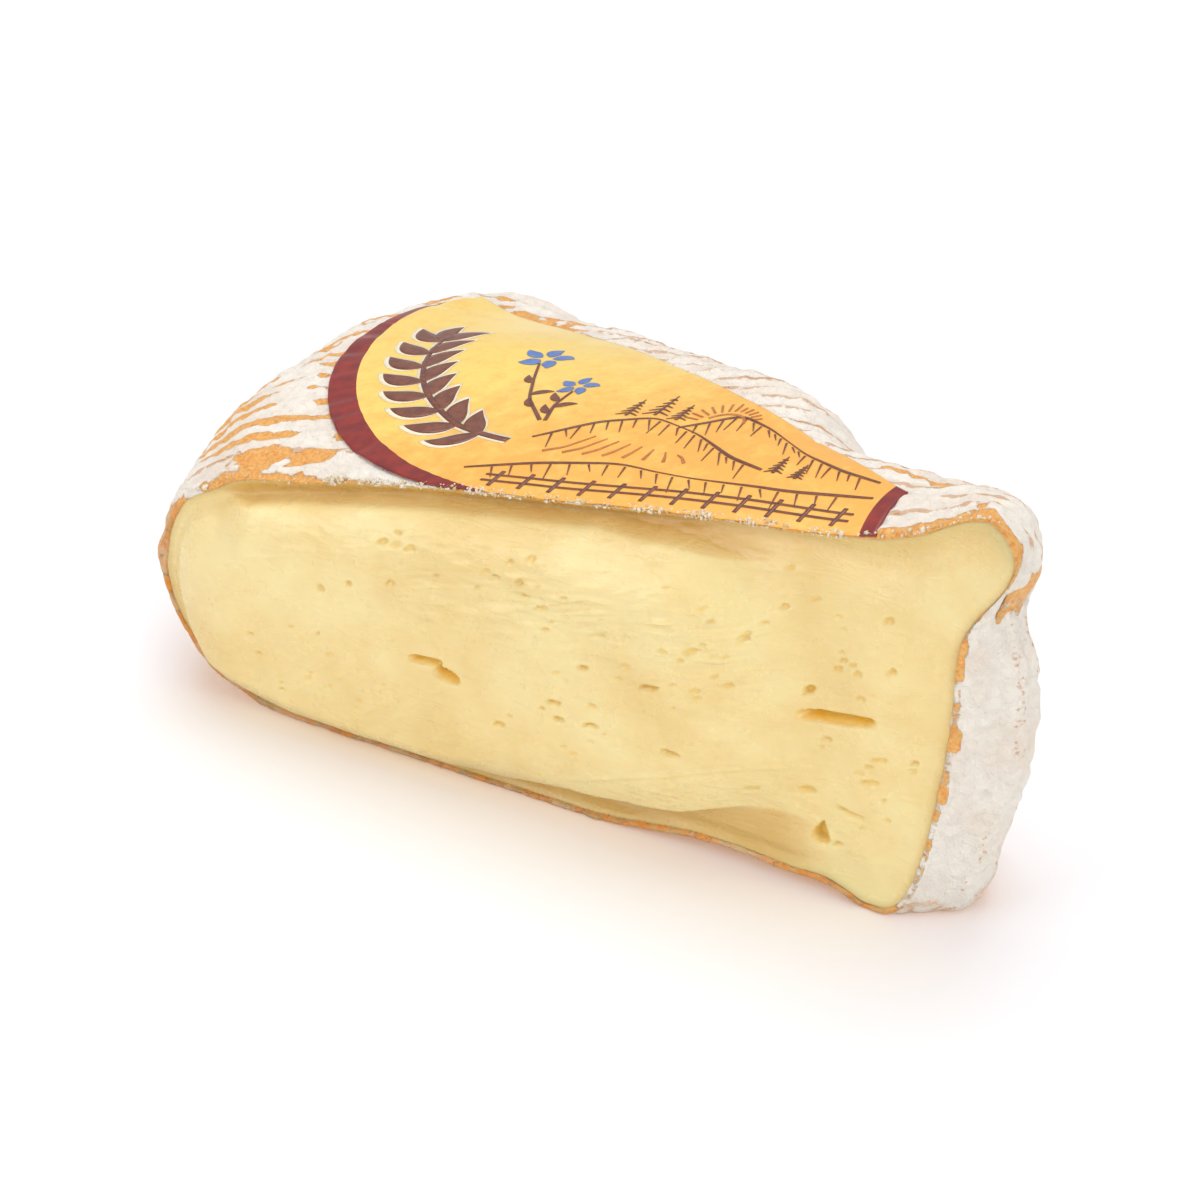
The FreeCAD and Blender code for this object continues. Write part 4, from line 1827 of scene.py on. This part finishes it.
@dataclass(frozen=True)
class LabelPrint:
    """Generic country design on the label: a leafy spray, a blossom, hills, firs and a fence."""

    sheet: LabelSheet
    lift: float = 0.05
    film: float = 0.03
    spray_radius: float = 27.5
    spray_turns: tuple[float, float] = (186.0, 262.0)
    spray_points: int = 60
    spray_spread: float = 0.75
    post_start: float = 45.0
    post_step: float = 3.9
    post_count: int = 12
    sun_middle: tuple[float, float] = (64.5, 18.6)
    sun_radius: float = 2.6
    seed: int = 41

    hills = (
        [(44, 12), (50, 17), (56, 19), (63, 16), (70, 11), (75, 9)],
        [(60, 17), (66, 21), (71, 18.5), (78, 13.5), (84, 11), (89, 10)],
        [(40, 4), (48, 6.5), (58, 8), (68, 6), (80, 5.5), (90, 6.5)],
    )
    # Firs: foot and height.
    firs = ((52, 19, 4.6), (55.4, 19.6, 5.6), (58.6, 18.8, 4.2), (76.6, 8.6, 3.8), (79.6, 8.0, 3.2))
    # Blossoms: middle and radius, and the stalks under them.
    blossoms = ((33.0, 33.0, 3.4), (41.8, 25.6, 2.6))
    stalk_paths = (
        [(33.0, 31.4), (35.0, 27.0), (38.0, 21.0), (42.5, 16.0)],
        [(42.0, 24.0), (42.0, 20.0), (43.2, 16.0)],
    )

    def ribbon(self, path: Array, width: Array, across: int = 2) -> Stroke:
        """Flat stroke along a path in plan, laid on the paper.

        Args:
            path: points of the middle line.
            width: full width at each point.
            across: cells across the stroke.
        Returns:
            Points and quads of the stroke.
        """
        along = np.gradient(path, axis=0)
        along /= np.linalg.norm(along, axis=1, keepdims=True) + 1e-9
        side = np.stack((-along[:, 1], along[:, 0]), axis=1)
        shares = np.linspace(-0.5, 0.5, across + 1)
        flat = path[None] + shares[:, None, None] * (side * width[:, None])[None]
        x, y = flat[..., 0], flat[..., 1]
        z = self.sheet.height(x, y) + self.lift
        points = np.stack((x, y, z), axis=-1).reshape(-1, 3)
        return points, grid_faces(across + 1, len(path), False)[:, ::-1]

    @staticmethod
    def curve(points: list[tuple[float, float]], count: int) -> Array:
        """Smooth open path: even places along the straight runs, averaged by a cosine window.

        Args:
            points: places that the path follows.
            count: how many points to make.
        Returns:
            The path's points.
        """
        given = np.array(points)
        steps = np.concatenate(([0.0], np.cumsum(np.linalg.norm(np.diff(given, axis=0), axis=1))))
        fine = np.linspace(0.0, steps[-1], count)
        path = np.stack([np.interp(fine, steps, given[:, axis]) for axis in range(2)], axis=1)
        kernel = np.hanning(max(3, count // (2 * len(points)) * 2 + 1))
        kernel /= kernel.sum()
        half = len(kernel) // 2
        padded = np.pad(path, ((half, half), (0, 0)), mode="reflect", reflect_type="odd")
        smoothed = [np.convolve(padded[:, axis], kernel, mode="valid") for axis in range(2)]
        return np.stack(smoothed, axis=1)

    def stroke(
        self,
        points: list[tuple[float, float]],
        count: int,
        width: float,
        tip: float,
        across: int = 1,
    ) -> Stroke:
        """Curved stroke through a few places.

        Args:
            points: places that the stroke follows.
            count: points along it.
            width, tip: width at its start and at its end.
            across: cells across it.
        Returns:
            The stroke.
        """
        return self.ribbon(self.curve(points, count), np.linspace(width, tip, count), across)

    def leaf(self, root: Array, direction: float, length: float, width: float) -> Stroke:
        """A pointed leaf: a bent stroke whose width is a sine of the way along it.

        Args:
            root: where it starts.
            direction: the way that it points, in radians.
            length, width: its size.
        Returns:
            The leaf.
        """
        share = np.linspace(0.0, 1.0, 14)
        bend = 0.12 * length * np.sin(math.pi * share)
        cosine, sine = math.cos(direction), math.sin(direction)
        x = cosine * length * share - sine * bend
        y = sine * length * share + cosine * bend
        widths = 0.05 + width * np.sin(math.pi * share**0.8) ** 0.9
        return self.ribbon(root + np.stack((x, y), 1), widths, 4)

    def spray(self, widen: float) -> list[Stroke]:
        """A leafy spray along an arc inside the band.

        Args:
            widen: added to the size of each leaf and of the stem.
        Returns:
            Stem and leaves.
        """
        angles = np.radians(np.linspace(*self.spray_turns, self.spray_points))
        middle = np.array((self.sheet.plan.middle_x, self.sheet.plan.middle_y))
        path = middle + self.spray_radius * np.stack((np.cos(angles), np.sin(angles)), axis=1)
        made = [self.ribbon(path, np.linspace(0.5, 1.0, self.spray_points) + widen, 2)]
        for place in range(3, self.spray_points - 2, 7):
            heading = angles[place] + 0.5 * math.pi
            for side in (-1.0, 1.0):
                direction = heading + math.pi + side * self.spray_spread
                made.append(self.leaf(path[place], direction, 6.4 + widen, 2.5 + widen))
        made.append(self.leaf(path[2], angles[2] - 0.5 * math.pi, 6.0 + widen, 2.4 + widen))
        return made

    def hillside(self) -> list[Stroke]:
        """Outlines of the hills and the bank behind the fence, each with hatching under it.

        Returns:
            The strokes.
        """
        draw = np.random.default_rng(self.seed)
        made = []
        for hill in self.hills:
            path = self.curve(hill, 90)
            made.append(self.ribbon(path, 0.30 + 0.16 * np.sin(np.linspace(0.0, 9.0, 90)), 2))
            for place in range(6, 84, 4):
                reach = draw.uniform(1.2, 3.2)
                lean = draw.uniform(-0.3, 0.2)
                start = path[place] - np.array((0.0, 0.4))
                end = start + np.array((lean * reach + 0.8, -reach))
                made.append(self.stroke([start, end], 12, 0.26, 0.08))
        return made

    def fence(self) -> list[Stroke]:
        """Posts and two rails along the cut edge.

        Returns:
            The strokes.
        """
        posts = self.post_start + self.post_step * np.arange(self.post_count)
        made = [self.stroke([(x, 0.9), (x + 0.3, 4.0)], 10, 0.5, 0.5) for x in posts]
        for rail in (1.9, 3.1):
            made.append(self.stroke([(43.5, rail), (66.0, rail + 0.3), (89.5, rail)], 120, 0.34, 0.34))
        return made

    def fir(self, x: float, y: float, tall: float) -> list[Stroke]:
        """A small fir: a trunk and sloping twigs that widen towards the foot.

        Args:
            x, y: its foot.
            tall: its height.
        Returns:
            Trunk and twigs.
        """
        made = [self.stroke([(x, y), (x, y + tall)], 12, 0.4, 0.12)]
        for level in range(5):
            height = y + tall * (0.18 + 0.16 * level)
            reach = 0.30 * tall * (1.0 - 0.17 * level)
            for side in (-1.0, 1.0):
                end = (x + side * reach, height - 0.55 * reach)
                made.append(self.stroke([(x, height), end], 8, 0.36, 0.10))
        return made

    def blossom(self, x: float, y: float, radius: float) -> list[Stroke]:
        """Five petals about a point.

        Args:
            x, y: the point.
            radius: how far the petals reach.
        Returns:
            The petals.
        """
        middle = np.array((x, y))
        turns = np.radians(72.0 * np.arange(5) + 12.0)
        heads = [middle + 0.22 * radius * np.array((math.cos(turn), math.sin(turn))) for turn in turns]
        return [self.leaf(head, turn, 0.8 * radius, 0.5 * radius) for head, turn in zip(heads, turns)]

    def stalks(self) -> list[Stroke]:
        """Stalks and small leaves under the blossoms.

        Returns:
            The strokes.
        """
        made = []
        for points in self.stalk_paths:
            path = self.curve(points, 40)
            made.append(self.ribbon(path, np.linspace(0.3, 0.5, 40), 2))
            for place, side in ((14, 1.0), (22, -1.0), (30, 1.0)):
                made.append(self.leaf(path[place], math.radians(80.0 + 50.0 * side), 2.8, 1.0))
        return made

    def sunrise(self) -> list[Stroke]:
        """A low sun with rays over the hills, and furrows curving towards the fence.

        Returns:
            The strokes.
        """
        arc = np.radians(np.linspace(10.0, 150.0, 50))
        middle = np.array(self.sun_middle)
        rim = middle + self.sun_radius * np.stack((np.cos(arc), np.sin(arc)), 1)
        made = [self.ribbon(rim, np.full(50, 0.34), 2)]
        for turn in np.radians(np.linspace(28.0, 168.0, 12)):
            aim = np.array((math.cos(turn), math.sin(turn)))
            far = 5.4 if turn > 1.4 else 4.6
            made.append(self.stroke([middle + 3.4 * aim, middle + far * aim], 10, 0.26, 0.26))
        for place in range(8):
            foot = 47.0 + 2.6 * place
            head = 51.5 + 1.7 * place
            run = [(foot, 9.2), (0.5 * (foot + head), 10.4), (head, 13.4 - 0.35 * place)]
            made.append(self.stroke(run, 30, 0.42, 0.16, 2))
        return made

    @staticmethod
    def joined(strokes: list[Stroke]) -> tuple[Array, list[Array]]:
        """Put strokes together.

        Args:
            strokes: points and quads of each.
        Returns:
            One list of points, and one group of quads.
        """
        counts = np.cumsum([0] + [len(points) for points, _ in strokes])
        quads = [stroke[1] + count for stroke, count in zip(strokes, counts)]
        return np.vstack([points for points, _ in strokes]), [np.vstack(quads)]

    def build(self, maker: PieceMaker) -> None:
        """Make the four inks, each a film of its own.

        Args:
            maker: makes the pieces.
        """
        blue = [petal for place in self.blossoms for petal in self.blossom(*place)]
        pale = self.lowered(self.spray(0.7))
        trees = [twig for place in self.firs for twig in self.fir(*place)]
        brown = self.spray(0.0) + self.hillside() + trees + self.fence() + self.stalks()
        inks = (
            (Piece.TAN_INK, self.sunrise(), InkFinish("tan_ink", (206, 130, 66), (190, 112, 56))),
            (Piece.PALE_INK, pale, InkFinish("pale_ink", (250, 240, 214), (244, 230, 196))),
            (Piece.INK, brown, InkFinish("brown_ink", (112, 62, 48), (134, 78, 56))),
            (Piece.BLUE_INK, blue, InkFinish("blue_ink", (92, 122, 190), (108, 136, 198))),
        )
        for name, strokes, finish in inks:
            points, faces = self.joined(strokes)
            piece = maker.make(name, points, faces, finish.material())
            film = piece.modifiers.new("film", "SOLIDIFY")
            film.thickness = self.film * MM
            film.offset = -1.0

    def lowered(self, strokes: list[Stroke]) -> list[Stroke]:
        """Strokes that lie a little lower, so that the ones over them hide their middle."""
        drop = np.array((0.0, 0.0, 0.4 * self.lift))
        return [(points - drop, quads) for points, quads in strokes]


@dataclass(frozen=True)
class RindCrumbs:
    """Crumbs of mould and paste caught along the cut and the label's torn edge."""

    form: WedgeForm
    top: TopMap
    count: int = 620
    rings: int = 5
    sides: int = 8
    seed: int = 53

    def ball(self) -> Array:
        """Points of a ball of radius 1: rings from the top down, then its two poles.

        Returns:
            One row for each point.
        """
        theta = np.linspace(0.0, math.pi, self.rings + 2)[1:-1][:, None]
        phi = np.linspace(0.0, 2.0 * math.pi, self.sides, endpoint=False)[None, :]
        x, y = np.sin(theta) * np.cos(phi), np.sin(theta) * np.sin(phi)
        rings = np.stack((x, y, np.cos(theta) + 0.0 * phi), axis=-1).reshape(-1, 3)
        return np.vstack((rings, ((0.0, 0.0, 1.0), (0.0, 0.0, -1.0))))

    def build(self, maker: PieceMaker) -> bpy.types.Object:
        """Make the crumbs: each a small ball of a few faces, squashed and roughened.

        Args:
            maker: makes the piece.
        Returns:
            The piece.
        """
        draw = np.random.default_rng(self.seed)
        ball = self.ball()
        clumps = np.concatenate((draw.uniform(24.0, 94.0, 24), draw.normal(66.0, 9.0, 10)))
        x = draw.choice(clumps, self.count) + draw.normal(0.0, 0.8, self.count)
        x[: self.count // 4] = draw.uniform(5.0, 108.0, self.count // 4)
        y = np.abs(draw.normal(0.0, 0.35, len(x))) - 0.2
        size = draw.uniform(0.05, 0.16, len(x)) * (1.0 + 0.9 * (draw.random(len(x)) > 0.92))
        z = self.top.at(x, np.clip(y, 0.0, None)) + 0.15 - 0.5 * draw.random(len(x)) * (y < 0.0)
        stretch = draw.uniform(0.6, 1.5, (len(x), 1, 3))
        rough = 1.0 + 0.3 * draw.normal(0.0, 1.0, (len(x), len(ball), 1))
        points = ball[None] * stretch * rough * size[:, None, None]
        points = points + np.stack((x, y, z), axis=1)[:, None, :]
        quads = grid_faces(self.rings, self.sides, True)[:, ::-1]
        ring, pole = np.arange(self.sides), self.rings * self.sides
        last_ring = pole - self.sides + ring
        tips = np.vstack((pole_faces(ring, pole, False), pole_faces(last_ring, pole + 1, True)))
        shifts = (np.arange(len(x)) * len(ball))[:, None, None]
        faces = [(quads[None] + shifts).reshape(-1, 4), (tips[None] + shifts).reshape(-1, 3)]
        shade = np.repeat(draw.random((len(x), 1)) ** 2, len(ball), axis=1).reshape(-1, 1)
        tint = np.hstack((0.55 * shade, 0.0 * shade, 0.3 * shade))
        points = points.reshape(-1, 3)
        finish = CrumbFinish().material()
        return maker.make(Piece.CRUMBS, points, faces, finish, {"wear": tint})


@dataclass(frozen=True)
class CrumbFinish:
    """Crumbs: mostly white mould, some of them buff."""

    white: Colour = (240, 232, 214)
    buff: Colour = (224, 190, 130)

    def material(self) -> bpy.types.Material:
        """Build the nodes: white to buff for each crumb, with a fine fuzz.

        Returns:
            The material.
        """
        board = NodeBoard(bpy.data.materials.new("rind_crumbs"))
        buff, _, _ = board.tint("wear")
        grain = board.noise(0.3, 3.0)
        colour = board.blend(board.between(buff, 0.1, 0.5), self.white, self.buff)
        colour = board.over(grain, 0.3, colour, self.buff)
        return board.finish(
            Base_Color=colour, Roughness=board.levels(grain, 0.6, 0.85), Normal=board.bump(grain, 0.05)
        )


@dataclass(frozen=True)
class Studio:
    """Floor, soft lamps, white surroundings and the camera."""

    azimuth: float = 30.994
    elevation: float = 31.0
    distance: float = 560.0
    lens: float = 147.3
    target: tuple[float, float, float] = (-1.32, -16.38, 18.5)
    floor_side: float = 1.2
    floor_drop: float = 2e-4
    world_strength: float = 0.40

    # Lamps: name, place in metres, side in metres, and brightness of a white face turned to it.
    lamps = (
        ("top_lamp", (-0.12, 0.24, 0.82), 0.7, 0.62),
        ("front_lamp", (-0.65, -0.80, 0.55), 0.8, 0.33),
        ("side_lamp", (0.90, -0.45, 0.50), 0.6, 0.36),
    )

    def floor(self) -> None:
        """Lay a wide white floor that shows pure white to the camera except in the shadow."""
        half = 0.5 * self.floor_side
        turns = ((-1, -1), (1, -1), (1, 1), (-1, 1))
        corners = [(half * x, half * y, -self.floor_drop) for x, y in turns]
        mesh = bpy.data.meshes.new("floor")
        mesh.from_pydata(corners, [], [(0, 1, 2, 3)])
        board = NodeBoard(bpy.data.materials.new("floor"))
        seen = board.node("ShaderNodeLightPath").outputs["Is Camera Ray"]
        # Painted warm shadow: to the camera alone the floor is bluish and glows warm, so its shadow
        # takes a warm tint in place of light bounced from the cheese.
        painted_warm_glow = board.blend(seen, (0, 0, 0), (255, 172, 102))
        material = board.finish(
            Base_Color=board.blend(seen, (238, 238, 238), (206, 232, 247)),
            Roughness=0.9,
            Specular_IOR_Level=0.0,
            Emission_Color=painted_warm_glow,
            Emission_Strength=0.37,
        )
        mesh.materials.append(material)
        floor = bpy.data.objects.new("floor", mesh)
        bpy.context.scene.collection.objects.link(floor)

    def lamp(self, name: str, place: tuple[float, float, float], size: float, level: float) -> None:
        """A square soft lamp aimed at the cheese.

        Args:
            name: the lamp.
            place: where it hangs, in metres.
            size: its side in metres.
            level: brightness that it alone gives a white surface facing it.
        """
        light = bpy.data.lights.new(name, "AREA")
        light.size = size
        reach = Vector(place)
        light.energy = level * math.pi**2 * reach.length_squared
        lamp = bpy.data.objects.new(name, light)
        lamp.location = reach
        lamp.rotation_euler = (-reach).to_track_quat("-Z", "Y").to_euler()
        bpy.context.scene.collection.objects.link(lamp)

    def surroundings(self) -> None:
        """White world: full white to the camera and through clear pieces, softer as light."""
        board = NodeBoard(bpy.data.worlds.new("studio"))
        seen = board.node("ShaderNodeLightPath").outputs
        direct = board.math("MAXIMUM", seen["Is Camera Ray"], seen["Is Transmission Ray"])
        background = board.node("ShaderNodeBackground")
        board.feed(background.inputs["Color"], (1.0, 1.0, 1.0, 1.0))
        board.feed(background.inputs["Strength"], board.levels(direct, self.world_strength, 1.0))
        board.feed(board.node("ShaderNodeOutputWorld").inputs["Surface"], background.outputs[0])
        bpy.context.scene.world = board.owner

    def camera(self) -> None:
        """Long-lens camera above and to the right of the cut."""
        turn, rise = math.radians(self.azimuth), math.radians(self.elevation)
        level = math.cos(rise)
        back = Vector((math.sin(turn) * level, -math.cos(turn) * level, math.sin(rise)))
        data = bpy.data.cameras.new("camera")
        data.lens = self.lens
        data.sensor_width = 36.0
        data.clip_start, data.clip_end = 0.05, 20.0
        camera = bpy.data.objects.new("camera", data)
        camera.location = (Vector(self.target) + back * self.distance) * MM
        camera.rotation_mode = "QUATERNION"
        camera.rotation_quaternion = (-back).to_track_quat("-Z", "Y")
        bpy.context.scene.collection.objects.link(camera)
        bpy.context.scene.camera = camera

    def build(self) -> None:
        """Set up the whole studio."""
        self.floor()
        for lamp in self.lamps:
            self.lamp(*lamp)
        self.surroundings()
        self.camera()
        bpy.context.scene.view_settings.view_transform = "Standard"


def main() -> None:
    """Build every piece in order, then the studio."""
    logging.basicConfig(level=logging.INFO, format="%(name)s %(message)s")
    form = WedgeForm()
    plan = LabelPlan()
    top = TopMap(form)
    maker = PieceMaker(Placing(form))
    shell = RindShell(form, plan)
    shell.build(maker)
    PasteBody(form, shell).build(maker)
    sheet = LabelSheet(plan, top)
    sheet.build(maker)
    LabelPrint(sheet).build(maker)
    RindCrumbs(form, top).build(maker)
    Studio().build()


if __name__ == "__main__":
    main()
